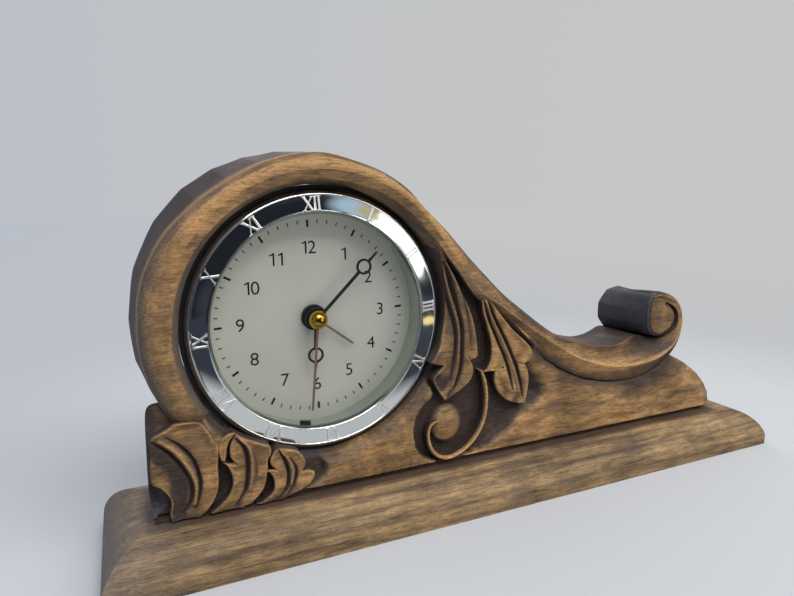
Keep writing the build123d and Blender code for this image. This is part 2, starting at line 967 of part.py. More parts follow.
def stator():
    """Thin iron plate that rings the rotor and joins both ends of the coil's core."""
    front = level(7)[0]
    back = front + stator_thickness
    hole = magnet_radius + rotor_gap
    ring = hole + stator_rim
    reach = coil_core_reach()
    half = stator_arm_width / 2
    plate = rod(rotor_place, ring, front, back)
    top = coil_up + reach
    low = coil_up - reach
    right = coil_across + half
    plate += bar(rotor_place[0], right, top - half, top + half, front, back)
    joint = rotor_place[0] + ring - half
    plate += bar(joint - half, joint + half, rotor_place[1], top + half, front, back)
    leg = rotor_place[0] + ring
    arm = leg - half
    plate += bar(arm, arm + half, low - half, rotor_place[1], front, back)
    plate += bar(arm, right, low - half, low + half, front, back)
    return plate - rod(rotor_place, hole, front, back)


def circuit_board():
    """Small board with its quartz can and chip blob."""
    front = board_front()
    left = -board_across - board_width / 2
    right = -board_across + board_width / 2
    low = board_up - board_height / 2
    board = bar(left, right, low, board_up + board_height / 2, front, front + board_thickness)
    quartz = (-board_across - board_width / 4, board_up)
    board += rod(quartz, board_post_radius, front - board_thickness, front)
    blob = (-board_across + board_width / 4, board_up)
    return board + rod(blob, 2 * board_post_radius, front - board_thickness / 2, front)


def wheel_with_pinion(place, wheel, pinion, bore):
    """A wheel and a pinion on one hub; each is (teeth, module, phase, level number)."""
    wheel_teeth, wheel_module, wheel_phase, wheel_level = wheel
    pinion_teeth, pinion_module, pinion_phase, pinion_level = pinion
    front = min(level(wheel_level)[0], level(pinion_level)[0])
    back = max(level(wheel_level)[1], level(pinion_level)[1])
    solid = toothed(place, wheel_teeth, wheel_module, wheel_phase, *level(wheel_level))
    solid += toothed(place, pinion_teeth, pinion_module, pinion_phase, *level(pinion_level))
    solid += rod(place, root_radius(pinion_teeth, pinion_module), front, back)
    return solid - rod(place, bore, front, back)


def rotor():
    """Magnet rotor of the stepping motor with its pinion."""
    front = level(6)[0]
    back = level(7)[0] + magnet_thickness
    module = module_of(rotor_distance, rotor_teeth, fifth_teeth)
    phase = mesh_phase(fifth_phase, fifth_teeth, rotor_direction, rotor_teeth)
    solid = toothed(rotor_place, rotor_teeth, module, phase, *level(6))
    solid += rod(rotor_place, root_radius(rotor_teeth, module), front, back)
    solid += rod(rotor_place, magnet_radius, level(7)[0] - arbor_end_gap, back)
    return solid - rod(rotor_place, stud_radius + running_fit, front, back)


def fifth_wheel():
    """Wheel between the rotor and the seconds wheel."""
    wheel_module = module_of(rotor_distance, rotor_teeth, fifth_teeth)
    pinion_module = module_of(fifth_distance, fifth_pinion_teeth, seconds_teeth)
    pinion_phase = mesh_phase(seconds_phase, seconds_teeth, fifth_direction, fifth_pinion_teeth)
    wheel = (fifth_teeth, wheel_module, fifth_phase, 6)
    pinion = (fifth_pinion_teeth, pinion_module, pinion_phase, 5)
    return wheel_with_pinion(fifth_place, wheel, pinion, stud_radius + running_fit)


def seconds_wheel():
    """Seconds wheel and pinion on the long arbor that carries the second hand."""
    wheel_module = module_of(fifth_distance, fifth_pinion_teeth, seconds_teeth)
    pinion_module = module_of(third_distance, seconds_pinion_teeth, third_teeth)
    wheel = toothed((0, 0), seconds_teeth, wheel_module, seconds_phase, *level(5))
    pinion_phase = mesh_phase(third_phase, third_teeth, third_direction + 180.0, seconds_pinion_teeth)
    wheel += toothed((0, 0), seconds_pinion_teeth, pinion_module, pinion_phase, *level(4))
    hub = root_radius(seconds_pinion_teeth, pinion_module)
    wheel += rod((0, 0), hub, level(4)[0], level(5)[1])
    pivot = cavity_back + movement_wall / 2 - arbor_end_gap
    return wheel + rod((0, 0), arbor_radius, second_hand_depth, pivot)


def third_wheel():
    """Third wheel and pinion on an arbor that runs from plate to base."""
    wheel_module = module_of(third_distance, seconds_pinion_teeth, third_teeth)
    pinion_module = module_of(third_distance, third_pinion_teeth, centre_teeth)
    pinion_phase = mesh_phase(centre_phase, centre_teeth, third_direction, third_pinion_teeth)
    wheel = toothed(third_place, third_teeth, wheel_module, third_phase, *level(4))
    wheel += toothed(third_place, third_pinion_teeth, pinion_module, pinion_phase, *level(3))
    hub = root_radius(third_pinion_teeth, pinion_module)
    wheel += rod(third_place, hub, level(3)[0], level(4)[1])
    front = cavity_front - plate_thickness / 2 + arbor_end_gap
    back = cavity_back + movement_wall / 2 - arbor_end_gap
    return wheel + rod(third_place, axle_radius, front, back)


def centre_wheel():
    """Centre wheel, which turns on the seconds arbor and drives the minute tube by friction."""
    module = module_of(third_distance, third_pinion_teeth, centre_teeth)
    front, back = level(3)
    wheel = toothed((0, 0), centre_teeth, module, centre_phase, front, back)
    wheel += rod((0, 0), alarm_tube_radius, front - arbor_end_gap, back + arbor_end_gap)
    return wheel - rod((0, 0), arbor_radius + running_fit, front - arbor_end_gap, back + arbor_end_gap)


def minute_tube():
    """Minute tube with its pinion; it carries the minute hand."""
    module = module_of(motion_distance, minute_pinion_teeth, motion_teeth)
    phase = mesh_phase(motion_phase, motion_teeth, motion_direction + 180.0, minute_pinion_teeth)
    tube_solid = toothed((0, 0), minute_pinion_teeth, module, phase, *level(2))
    tube_solid += rod((0, 0), minute_tube_radius, minute_hand_depth, level(2)[1])
    return tube_solid - rod((0, 0), arbor_radius + running_fit, minute_hand_depth, level(2)[1])


def motion_wheel():
    """Wheel and pinion between the minute tube and the hour wheel."""
    wheel_module = module_of(motion_distance, minute_pinion_teeth, motion_teeth)
    pinion_module = module_of(motion_distance, motion_pinion_teeth, hour_teeth)
    wheel = (motion_teeth, wheel_module, motion_phase, 2)
    pinion = (motion_pinion_teeth, pinion_module, motion_pinion_phase, 1)
    return wheel_with_pinion(motion_place, wheel, pinion, stud_radius + running_fit)


def hour_wheel():
    """Hour wheel on its tube; it carries the hour hand."""
    module = module_of(motion_distance, motion_pinion_teeth, hour_teeth)
    direction = motion_direction + 180.0
    phase = mesh_phase(motion_pinion_phase, motion_pinion_teeth, direction, hour_teeth)
    back = level(1)[1]
    wheel = toothed((0, 0), hour_teeth, module, phase, *level(1))
    wheel += rod((0, 0), hour_tube_radius, hour_hand_depth, back)
    return wheel - rod((0, 0), minute_tube_radius + running_fit, hour_hand_depth, back)


def alarm_wheel():
    """Alarm wheel on the outermost tube; it carries the alarm hand."""
    module = module_of(alarm_distance, alarm_pinion_teeth, alarm_teeth)
    back = level(0)[1]
    wheel = toothed((0, 0), alarm_teeth, module, alarm_phase, *level(0))
    wheel += rod((0, 0), alarm_tube_radius, alarm_hand_depth, back)
    return wheel - rod((0, 0), hour_tube_radius + running_fit, alarm_hand_depth, back)


def set_shaft(place, teeth, module, phase, number):
    """Setting shaft with its pinion, from the plate out to its knob."""
    front = cavity_front - plate_thickness / 2 + arbor_end_gap
    shaft = rod(place, set_shaft_radius, front, cover_back + knob_gap + knob_height / 2)
    return shaft + toothed(place, teeth, module, phase, *level(number))


def time_set_shaft():
    """Shaft that turns the motion wheel and so sets the hands."""
    module = module_of(motion_distance, time_pinion_teeth, motion_teeth)
    phase = mesh_phase(motion_phase, motion_teeth, time_shaft_direction, time_pinion_teeth)
    return set_shaft(time_place, time_pinion_teeth, module, phase, 2)


def alarm_set_shaft():
    """Shaft that turns the alarm wheel and so sets the alarm hand."""
    module = module_of(alarm_distance, alarm_pinion_teeth, alarm_teeth)
    phase = mesh_phase(alarm_phase, alarm_teeth, alarm_direction, alarm_pinion_teeth)
    return set_shaft(alarm_place, alarm_pinion_teeth, module, phase, 0)


def knob(place):
    """Fluted knob with the socket for its shaft."""
    front = cover_back + knob_gap
    back = front + knob_height
    solid = rod(place, knob_radius, front, back)
    for number in range(knob_groove_count):
        across, up = turned(360.0 * number / knob_groove_count, knob_radius)
        solid -= rod((place[0] + across, place[1] + up), knob_groove_radius, front, back)
    return solid - rod(place, set_shaft_radius, front, front + knob_height / 2)


def rear_cover():
    """Disc that closes the case, with the battery window, holes, switch slot and sound slots."""
    cover = rod((0, 0), case_radius, case_back_depth, cover_back)
    cover = fillet(cover.edges().filter_by(GeomType.CIRCLE).sort_by(Axis.Y)[-1], cover_edge_round)
    width, low, high = door_window()
    cover -= bar(-width, width, low, high, case_back_depth, cover_back)
    for place in (time_place, alarm_place):
        cover -= rod(place, set_shaft_radius + running_fit, case_back_depth, cover_back)
    for place in boss_places():
        cover -= rod(place, case_screw_radius, case_back_depth, cover_back)
    left = switch_across - switch_tab_length / 2 - slide_clearance
    right = switch_across + switch_travel + switch_tab_length / 2 + slide_clearance
    half = switch_tab_width / 2 + slide_clearance
    cover -= bar(left, right, switch_up - half, switch_up + half, case_back_depth, cover_back)
    for number in range(sound_slot_count):
        up = buzzer_up + (number - (sound_slot_count - 1) / 2) * sound_slot_pitch
        low_edge, high_edge = up - sound_slot_width / 2, up + sound_slot_width / 2
        slot_half = sound_slot_length / 2
        cover -= bar(-slot_half, slot_half, low_edge, high_edge, case_back_depth, cover_back)
    return cover


def door_window():
    """Half width, low edge and high edge of the battery window."""
    half = movement_width / 2 - movement_wall + door_lap + door_clearance
    reach = bay_height / 2 + door_lap + door_clearance
    return half, -cell_down - reach, -cell_down + reach


def battery_door():
    """Lid of the battery bay, with a rim that stands on the bay's walls."""
    half, low, high = door_window()
    half, low, high = half - door_clearance, low + door_clearance, high - door_clearance
    seat = movement_back + door_seat_gap
    door = bar(-half, half, low, high, seat, cover_back)
    rim = 2 * door_lap
    door -= bar(-half + rim, half - rim, low + rim, high - rim, seat, case_back_depth)
    middle = (low + high) / 2
    grip_half = door_grip_width / 2
    grip_front = cover_back - door_grip_depth
    grip_top = middle + door_grip_height / 2
    return door - bar(
        -grip_half, grip_half, middle - door_grip_height / 2, grip_top, grip_front, cover_back
    )


def cover_screws():
    """Four pan-head screws of the rear cover."""
    head_back = cover_back + case_screw_head_height
    screws = []
    for place in boss_places():
        screw = rod(place, case_screw_radius, case_back_depth - case_screw_length, cover_back)
        screws.append(screw + rod(place, case_screw_head_radius, cover_back, head_back))
    return screws


def alarm_switch():
    """Sliding tab of the alarm switch, with the plate that keeps it behind the cover."""
    front = movement_back + slide_clearance
    back = case_back_depth - slide_clearance
    middle = switch_across
    half = switch_plate_length / 2
    wide = switch_plate_width / 2
    plate = bar(middle - half, middle + half, switch_up - wide, switch_up + wide, front, back)
    tab = switch_tab_length / 2
    tab_wide = switch_tab_width / 2
    tab_back = cover_back + switch_tab_height
    return plate + bar(
        middle - tab, middle + tab, switch_up - tab_wide, switch_up + tab_wide, front, tab_back
    )


def buzzer():
    """Round sounder glued to the inside of the rear cover."""
    return rod((0, buzzer_up), buzzer_radius, case_back_depth - buzzer_thickness, case_back_depth)


def along_x(start, up, depth, radius, length):
    """A round bar along X, placed from the dial's axis and the rim."""
    at = (dial_x + start, rim_y + depth, dial_height + up)
    return extrude(Plane(at, z_dir=(1, 0, 0)) * Circle(radius), amount=length)


def cell_left():
    """Across place of the cell's flat end."""
    return movement_width / 2 - movement_wall - contact_thickness - cell_button_length - cell_length


def battery():
    """Penlight cell with its button end at the right."""
    left = cell_left()
    cell = along_x(left, -cell_down, cell_depth, cell_radius, cell_length)
    button = along_x(
        left + cell_length, -cell_down, cell_depth, cell_button_radius, cell_button_length
    )
    return cell + button


def contact_at(left):
    """Flat sheet contact that stands against an end wall of the bay."""
    half = contact_width / 2
    low, high = -cell_down - half, -cell_down + half
    return bar(left, left + contact_thickness, low, high, cavity_front, cell_depth + half)


def positive_contact():
    """Sheet contact at the cell's button."""
    return contact_at(movement_width / 2 - movement_wall - contact_thickness)


def negative_contact():
    """Sheet contact with the coiled spring that presses on the cell's flat end."""
    left = -movement_width / 2 + movement_wall
    start = left + contact_thickness
    length = cell_left() - start - spring_wire_radius
    coil_radius_at_wire = spring_radius - spring_wire_radius
    at = (dial_x + start, rim_y + cell_depth, dial_height - cell_down)
    plane = Plane(at, z_dir=(1, 0, 0))
    line = plane * Helix(length / spring_turns, length, coil_radius_at_wire)
    section = Plane(line @ 0, z_dir=line % 0) * Circle(spring_wire_radius)
    return contact_at(left) + sweep(section, path=line)


def ring_hand(reach, length, width, depth, boss_radius, boss_front, boss_back, bore):
    """Hand with a round eye near its tip; drawn towards twelve."""
    half = width / 2
    tip = hand_tip_width / 2
    inner = hand_ring_radius - hand_ring_width
    back = depth + hand_thickness
    hand = bar(-half, half, 0, reach - inner, depth, back)
    hand += tube((0, reach), hand_ring_radius, inner, depth, back)
    y = rim_y + depth
    low = reach + inner + hand_ring_width / 2
    corners = [(-half, low), (half, low), (tip, length), (-tip, length)]
    points = [side_point(across, dial_height + up, y) for across, up in corners]
    hand += prism(Polyline(*points, close=True), hand_thickness)
    hand += rod((0, 0), boss_radius, boss_front, boss_back)
    return hand - rod((0, 0), bore, boss_front, boss_back)


def straight_hand(length, width, depth, boss_radius, bore):
    """Plain stick hand drawn towards twelve."""
    half = width / 2
    back = depth + hand_thickness
    hand = bar(-half, half, 0, length, depth, back)
    hand += rod((0, 0), boss_radius, depth, back)
    return hand - rod((0, 0), bore, depth, back)


def at_angle(hand, angle):
    """Turn a hand clockwise from twelve, as seen from the front."""
    return hand.rotate(dial_axis, angle)


def second_hand():
    """Copper-coloured stick hand on the seconds arbor."""
    hand = straight_hand(
        second_hand_length, second_hand_width, second_hand_depth, second_boss_radius, arbor_radius
    )
    return at_angle(hand, second_hand_angle)


def second_cap():
    """Brass dome over the middle of the second hand."""
    front = second_hand_depth - cap_skirt - cap_height
    cap = rod((0, 0), cap_radius, second_hand_depth - cap_skirt, second_hand_depth)
    sphere_radius = (cap_radius**2 + cap_height**2) / (2 * cap_height)
    centre = Pos(dial_x, rim_y + front + sphere_radius, dial_height)
    room = rod((0, 0), cap_radius, front, second_hand_depth - cap_skirt)
    return cap + (centre * Sphere(sphere_radius) & room)


def minute_hand():
    """Black hand with an eye, on the minute tube."""
    boss_back = minute_hand_depth + 2 * hand_thickness
    hand = ring_hand(
        minute_ring_reach,
        minute_hand_length,
        minute_hand_width,
        minute_hand_depth,
        minute_boss_radius,
        minute_hand_depth,
        boss_back,
        minute_tube_radius,
    )
    return at_angle(hand, minute_hand_angle)


def hour_hand():
    """Black hand with an eye, on the hour tube."""
    boss_back = hour_hand_depth + hour_boss_length
    hand = ring_hand(
        hour_ring_reach,
        hour_hand_length,
        hour_hand_width,
        hour_hand_depth,
        hour_boss_radius,
        hour_hand_depth,
        boss_back,
        hour_tube_radius,
    )
    return at_angle(hand, hour_hand_angle)


def alarm_hand():
    """Copper-coloured stick hand on the alarm tube."""
    hand = straight_hand(
        alarm_hand_length, alarm_hand_width, alarm_hand_depth, alarm_boss_radius, alarm_tube_radius
    )
    return at_angle(hand, alarm_hand_angle)


# Places of the axes, across and up from the dial's axis
third_place = turned(third_direction, third_distance)
fifth_place = turned(fifth_direction, fifth_distance)
motion_place = turned(motion_direction, motion_distance)
alarm_place = turned(alarm_direction, alarm_distance)
rotor_step = turned(rotor_direction, rotor_distance)
rotor_place = (fifth_place[0] + rotor_step[0], fifth_place[1] + rotor_step[1])
time_step = turned(time_shaft_direction, motion_distance)
time_place = (motion_place[0] + time_step[0], motion_place[1] + time_step[1])

# Phases that every meshing pair starts from
seconds_phase = fifth_direction
fifth_phase = rotor_direction
third_phase = third_direction
centre_phase = third_direction
motion_phase = motion_direction
motion_pinion_phase = motion_direction
alarm_phase = alarm_direction

pieces = {
    "plinth": plinth(),
    "carved_body": carved_body(),
    "plinth_screws": plinth_screws(),
    "bezel": bezel(),
    "case_drum": case_drum(),
    "grip_ring": grip_ring(),
    "crystal": crystal(),
    "reflector_ring": reflector_ring(),
    "dial": dial(),
    "dial_nut": dial_nut(),
    "movement_plate": movement_plate(),
    "movement_base": movement_base(),
    "motor_coil": motor_coil(),
    "stator": stator(),
    "rotor": rotor(),
    "circuit_board": circuit_board(),
    "fifth_wheel": fifth_wheel(),
    "seconds_wheel": seconds_wheel(),
    "third_wheel": third_wheel(),
    "centre_wheel": centre_wheel(),
    "minute_tube": minute_tube(),
    "motion_wheel": motion_wheel(),
    "hour_wheel": hour_wheel(),
    "alarm_wheel": alarm_wheel(),
    "time_set_shaft": time_set_shaft(),
    "alarm_set_shaft": alarm_set_shaft(),
    "time_knob": knob(time_place),
    "alarm_knob": knob(alarm_place),
    "rear_cover": rear_cover(),
    "battery_door": battery_door(),
    "cover_screws": cover_screws(),
    "alarm_switch": alarm_switch(),
    "buzzer": buzzer(),
    "battery": battery(),
    "positive_contact": positive_contact(),
    "negative_contact": negative_contact(),
    "second_hand": second_hand(),
    "second_cap": second_cap(),
    "minute_hand": minute_hand(),
    "hour_hand": hour_hand(),
    "alarm_hand": alarm_hand(),
}

os.makedirs("parts", exist_ok=True)
for name, piece in pieces.items():
    shape = Compound(children=piece) if isinstance(piece, list) else piece
    export_step(shape, f"parts/{name}.step")
    print(name, len(shape.solids()), round(shape.volume, 1))
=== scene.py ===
# %% [markdown]
# # A carved wooden desk clock
# A board of stained wood is carved as a ring with leaves and a scroll, and stands on a moulded
# plinth. A round alarm clock insert with a chrome bezel drops into the ring from the front.
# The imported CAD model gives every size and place, so this file only adds surfaces and finishes.

# %% Start
import math

import bpy
import numpy as np
from mathutils import Matrix, Vector


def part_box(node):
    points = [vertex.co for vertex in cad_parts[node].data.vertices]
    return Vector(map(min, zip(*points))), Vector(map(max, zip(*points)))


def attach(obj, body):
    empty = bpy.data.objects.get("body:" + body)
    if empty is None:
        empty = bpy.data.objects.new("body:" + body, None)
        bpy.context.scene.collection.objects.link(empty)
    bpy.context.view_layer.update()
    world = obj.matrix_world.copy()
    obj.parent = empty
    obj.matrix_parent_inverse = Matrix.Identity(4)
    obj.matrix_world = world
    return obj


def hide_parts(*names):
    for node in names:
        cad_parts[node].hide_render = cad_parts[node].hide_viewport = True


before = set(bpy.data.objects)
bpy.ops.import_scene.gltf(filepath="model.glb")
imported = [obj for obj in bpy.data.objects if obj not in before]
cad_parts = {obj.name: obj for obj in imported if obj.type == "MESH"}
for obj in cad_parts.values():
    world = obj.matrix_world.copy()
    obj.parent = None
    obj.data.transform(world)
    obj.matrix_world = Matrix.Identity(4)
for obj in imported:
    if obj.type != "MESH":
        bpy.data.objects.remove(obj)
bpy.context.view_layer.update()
bezel_low, bezel_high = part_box("bezel")
body_low, body_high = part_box("carved_body")
DIAL_X = (bezel_low.x + bezel_high.x) / 2
DIAL_Z = (bezel_low.z + bezel_high.z) / 2
print("dial axis", round(DIAL_X, 5), round(DIAL_Z, 5))

# %% [markdown]
# ## Millimetres and the frame
# A carver measures from the dial's axis, so shapes are written as across, depth and up in
# millimetres: across counts from the dial's axis, depth runs back along Y, and up counts from
# the table. One function turns them into the frame's metres, so no piece is moved afterwards.

# %% Units
MM = 0.001
FACE = body_low.y / MM
BACK = body_high.y / MM
AXIS = DIAL_Z / MM


def to_frame(points):
    """Across moves by the dial axis, and everything is scaled from millimetres to metres."""
    points = np.asarray(points, float)
    return points * MM + np.array([DIAL_X, 0, 0])


def ease(x):
    """A soft step: 0 below 0, 1 above 1, and 3x squared less 2x cubed between."""
    x = np.clip(x, 0, 1)
    return x * x * (3 - 2 * x)


print("body face", round(FACE, 2), "back", round(BACK, 2), "axis height", round(AXIS, 2))

# %% [markdown]
# ## Curves through measured points
# The outline of a leaf is drawn through points, as a carver draws it on the board before
# cutting. A chain of straight lines would look chopped, so a cubic runs through the points.
# A point given twice is a sharp tip.

# %% Curve helpers


def smooth_curve(points, count):
    """Between two points the curve is the cubic whose slope at each point is half the step
    between its neighbours. A repeated point splits the curve into runs. The result has count
    points at equal steps of length over the whole curve."""
    points = np.array(points, float)
    corner = np.flatnonzero(np.all(points[1:] == points[:-1], axis=1)) + 1
    share = np.linspace(0, 1, 24, endpoint=False)[None, :, None]
    dense = []
    for run in np.split(points, corner):
        if len(run) == 1:
            continue
        ends = np.vstack([2 * run[0] - run[1], run, 2 * run[-1] - run[-2]])
        a, b, c, d = (ends[k:len(ends) - 3 + k, None] for k in range(4))
        cubic = b + (c - a) * share / 2 + (a - 2.5 * b + 2 * c - d / 2) * share ** 2
        cubic = cubic + (1.5 * b - a / 2 - 1.5 * c + d / 2) * share ** 3
        dense += [cubic.reshape(-1, points.shape[1]), run[-1:]]
    dense = np.vstack(dense)
    length = np.concatenate([[0], np.cumsum(np.linalg.norm(np.diff(dense, axis=0), axis=1))])
    wanted = np.linspace(0, length[-1], count)
    return np.stack([np.interp(wanted, length, column) for column in dense.T], 1)


def run_curve(runs, counts):
    """Each run is smoothed by itself with its own count, so two edges keep matching tips."""
    return np.vstack([smooth_curve(run, count) for run, count in zip(runs, counts)])


print("curve helpers ready")

# %% [markdown]
# ## Distances
# A gouge cut is deepest along its line and fades to its sides, so most carving here is a
# function of how far a spot lies from a line, or how far inside an outline.

# %% Distance helpers
CHUNK = 20000


def line_distance(spots, line):
    """Shortest distance from each spot to a chain of straight pieces, some spots at a time."""
    start, step = line[:-1], np.diff(line, axis=0)
    size = np.maximum((step ** 2).sum(1), 1e-9)
    best = np.full(len(spots), np.inf)
    for begin in range(0, len(spots), CHUNK):
        part = spots[begin:begin + CHUNK, None]
        share = np.clip(((part - start) * step).sum(-1) / size, 0, 1)
        gap = part - start - share[..., None] * step
        best[begin:begin + CHUNK] = np.sqrt((gap ** 2).sum(-1).min(1))
    return best


def inside_distance(spots, outline):
    """Distance to the outline, above 0 inside it. A spot is inside when a level line from it
    crosses the outline an odd number of times."""
    closed = np.vstack([outline, outline[:1]])
    (x0, y0), (x1, y1) = closed[:-1].T, closed[1:].T
    x, y = spots[:, :1], spots[:, 1:]
    rise = np.where(y1 == y0, 1e-9, y1 - y0)
    crossing = ((y0 > y) != (y1 > y)) & (x < (x1 - x0) * (y - y0) / rise + x0)
    inside = crossing.sum(1) % 2 == 1
    return np.where(inside, 1, -1) * line_distance(spots, closed)


print("distance helpers ready")

# %% [markdown]
# ## From grids to meshes
# Each carved form is a grid of points worked out at once, closed into a shell like a block of
# wood. The corner numbers of its squares follow from the row and column numbers alone. A shell
# whose volume comes out below nothing has its faces turned round, so all point outwards.

# %% Mesh helpers


def grid_faces(rows, columns, wrap_rows=False, wrap_columns=False):
    """Corner numbers of the squares between neighbouring rows and columns of a grid."""
    r, c = np.meshgrid(np.arange(rows if wrap_rows else rows - 1),
                       np.arange(columns if wrap_columns else columns - 1), indexing="ij")
    r1, c1 = (r + 1) % rows, (c + 1) % columns
    corners = [r * columns + c, r1 * columns + c, r1 * columns + c1, r * columns + c1]
    return np.stack(corners, -1).reshape(-1, 4)


def signed_volume(points, faces):
    """Sum of the small pyramids from the origin to each triangle: above 0 with faces outwards."""
    total = 0.0
    for face in faces:
        face = np.asarray(face)
        if face.ndim == 1:
            face = np.stack([np.full(len(face) - 2, face[0]), face[1:-1], face[2:]], 1)
        first = points[face[:, 0]]
        for k in range(1, face.shape[1] - 1):
            second, third = points[face[:, k]], points[face[:, k + 1]]
            total += (first * np.cross(second, third)).sum() / 6
    return total


def add_piece(name, points, faces, body, material, marks=None, angle=38):
    """Makes a mesh from points in millimetres and lists of faces, and lets it ride on a body.
    marks are numbers per point that the material reads, and edges that turn by more than angle
    degrees stay sharp."""
    points = to_frame(points)
    if signed_volume(points - points.mean(0), faces) < 0:
        faces = [np.asarray(face)[..., ::-1] for face in faces]
    polygons = []
    for face in faces:
        polygons += [face.tolist()] if np.ndim(face) == 1 else np.asarray(face).tolist()
    mesh = bpy.data.meshes.new(name)
    mesh.from_pydata(points.tolist(), [], polygons)
    for mark, values in (marks or {}).items():
        layer = mesh.attributes.new(mark, "FLOAT", "POINT")
        layer.data.foreach_set("value", np.asarray(values, np.float32))
    mesh.polygons.foreach_set("use_smooth", np.ones(len(mesh.polygons), bool))
    mesh.set_sharp_from_angle(angle=math.radians(angle))
    mesh.materials.append(material)
    mesh.validate()
    piece = bpy.data.objects.new(name, mesh)
    bpy.context.scene.collection.objects.link(piece)
    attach(piece, body)
    print(name, len(points), "points")
    return piece


print("mesh helpers ready")

# %% [markdown]
# ## Three ways to close a shape
# A strip such as a leaf is closed by walls straight down into the board. A dome or bar is
# closed by a fan of triangles round its tip and one flat face behind. Strokes and marks are
# small blocks of six faces, and all of them go into one mesh, because each is so simple.

# %% Closing helpers
CARVING_FOOT = -9.0
BLOCK_SIDES = np.array([[0, 1, 2, 3], [7, 6, 5, 4], [0, 4, 5, 1], [1, 5, 6, 2], [2, 6, 7, 3],
                        [3, 7, 4, 0]])


def shell(front, marks):
    """Closes a front grid into a block: its two long edges drop straight back to the carving's
    foot, and its first and last rows become end faces. marks follow the points."""
    rows, columns = front.shape[:2]
    left, right = front[:, :1].copy(), front[:, -1:].copy()
    left[..., 1] = right[..., 1] = CARVING_FOOT
    # a second line just behind each edge ends the rim's wear and painted highlight there
    under = np.array([0, 0.45, 0])
    loop = np.concatenate([front, front[:, -1:] + under, right, left, front[:, :1] + under], 1)
    first = np.arange(columns + 4)
    faces = [grid_faces(rows, columns + 4, wrap_columns=True), first[::-1],
             first + (rows - 1) * (columns + 4)]
    # the walls get the full mark shade: stain and painted shade down the cut
    walls = np.ones((rows, 4))
    marks = {name: np.concatenate([values, walls if name == "shade" else walls * 0], 1).ravel()
             for name, values in marks.items()}
    return loop.reshape(-1, 3), faces, marks


def capped(sides, tip):
    """Closes rows of points that run from near a tip, down the side, to a flat back: squares
    between neighbouring rows, a fan round the tip, and one face behind."""
    rows, columns = sides.shape[:2]
    first = np.arange(rows) * columns
    fan = np.stack([np.full(rows, rows * columns), np.roll(first, -1), first], 1)
    faces = [grid_faces(rows, columns, wrap_rows=True), fan, first + columns - 1]
    return np.concatenate([sides.reshape(-1, 3), [tip]]), faces


def block_faces(count):
    """The six faces of each of count blocks, whose corners are four in front, four behind."""
    return (BLOCK_SIDES[None] + np.arange(count)[:, None, None] * 8).reshape(-1, 4)


print("closing helpers ready")

# %% [markdown]
# ## Colours and nodes
# Colours are read off the finish as web colours and turned to light amounts by one function.
# One small helper adds a node, sets it and links it, so a material reads as a list of steps.

# %% Material helpers
# settings of a colour mix, whose colours are inputs 6 and 7 and output 2
BLEND = {"data_type": "RGBA"}
TIMES = {"data_type": "RGBA", "blend_type": "MULTIPLY"}


def linear(code):
    """A web colour to linear light: below 0.04045 divided by 12.92, above it a power of 2.4."""
    parts = np.array([int(code[k:k + 2], 16) / 255 for k in (1, 3, 5)])
    low = parts / 12.92
    high = ((parts + 0.055) / 1.055) ** 2.4
    return (*np.where(parts <= 0.04045, low, high).tolist(), 1.0)


def add(tree, kind, inputs=None, out=0, **settings):
    """Adds one node, gives it its settings, and sets or links its inputs. Gives back the output
    that out names or counts, or the node itself where out is None."""
    made = tree.nodes.new("ShaderNode" + kind)
    for name, value in settings.items():
        setattr(made, name, value)
    for name, value in (inputs or {}).items():
        socket = made.inputs[name]
        if isinstance(value, bpy.types.NodeSocket):
            tree.links.new(value, socket)
        else:
            socket.default_value = value
    return made if out is None else made.outputs[out]


def start_material(name):
    """An empty node tree, and the object's own coordinates in metres."""
    material = bpy.data.materials.new(name)
    material.use_nodes = True
    tree = material.node_tree
    tree.nodes.clear()
    return material, tree, add(tree, "TexCoord", out="Object")


print("material helpers ready")

# %% [markdown]
# ## Where the stain and the painted shade lie
# The carver wipes dark stain over light wood: it stays in the cuts and rubs off the high
# places, which gives the carving its depth. The same marks also paint the shade that would fall
# in the cuts, under the ribbon and on the sides, and highlights on rims and ridges, so part of
# that depth is painted shade and painted highlight. Each carved point carries a mark for how deep
# it lies, shade, which sets its stain and painted shade, and one for how much it is rubbed and
# lit, wear_and_highlight. They come from the same formulas as the shape, so the stain and the
# painted shade follow every cut. On the plain plinth a painted shadow lies along the joint, and
# the plinth's left end is painted darker as painted shade.

# %% Stain


def stain_over(tree, colour, amount, overlay, fine):
    """Turns a colour by an amount towards another colour, with the fine grain still showing in
    it.
    It lays on the staining, the painted shade and the painted highlights.
    """
    tone = add(tree, "Mix", {0: 1.0, 6: overlay, 7: fine}, 2, **TIMES)
    return add(tree, "Mix", {0: amount, 6: colour, 7: tone}, 2, **BLEND)


def stain_in_cuts(tree, colour, fine, patches, place):
    """Darker by the mark shade, which is staining together with painted shade, made ragged by 0.9
    times the patches. Past 1 it turns grey, which stands for end grain that drank more and for
    painted cool shade in the left cove and round the scroll's core. By the mark
    wear_and_highlight the lighter wood shows, as wear and as painted highlights."""
    shade, wear_and_highlight = (add(tree, "Attribute", out="Fac", attribute_name=mark)
                  for mark in ("shade", "wear_and_highlight"))
    ragged = add(tree, "Math", {0: patches, 1: -0.5}, operation="ADD")
    ragged = add(tree, "Math", {0: ragged, 1: 0.9, 2: shade}, operation="MULTIPLY_ADD")
    amount = add(tree, "MapRange", {"Value": ragged, "From Max": 0.85})
    # dark stain together with the painted shade of the cuts
    colour = stain_over(tree, colour, amount, linear("#382D28"), fine)
    soaked_grain_and_cool_shade = add(tree, "MapRange", {"Value": ragged, "From Min": 1.06, "From Max": 1.26})
    colour = stain_over(tree, colour, soaked_grain_and_cool_shade, linear("#414044"), fine)
    bare_and_lit_wood = tuple(part * gain for part, gain in zip(linear("#9F7B4F"), (1.25, 1.22, 1.15, 1)))
    lit_and_worn = add(tree, "Math", {0: wear_and_highlight, 1: 0.8}, operation="MULTIPLY")
    return stain_over(tree, colour, lit_and_worn, bare_and_lit_wood, fine)


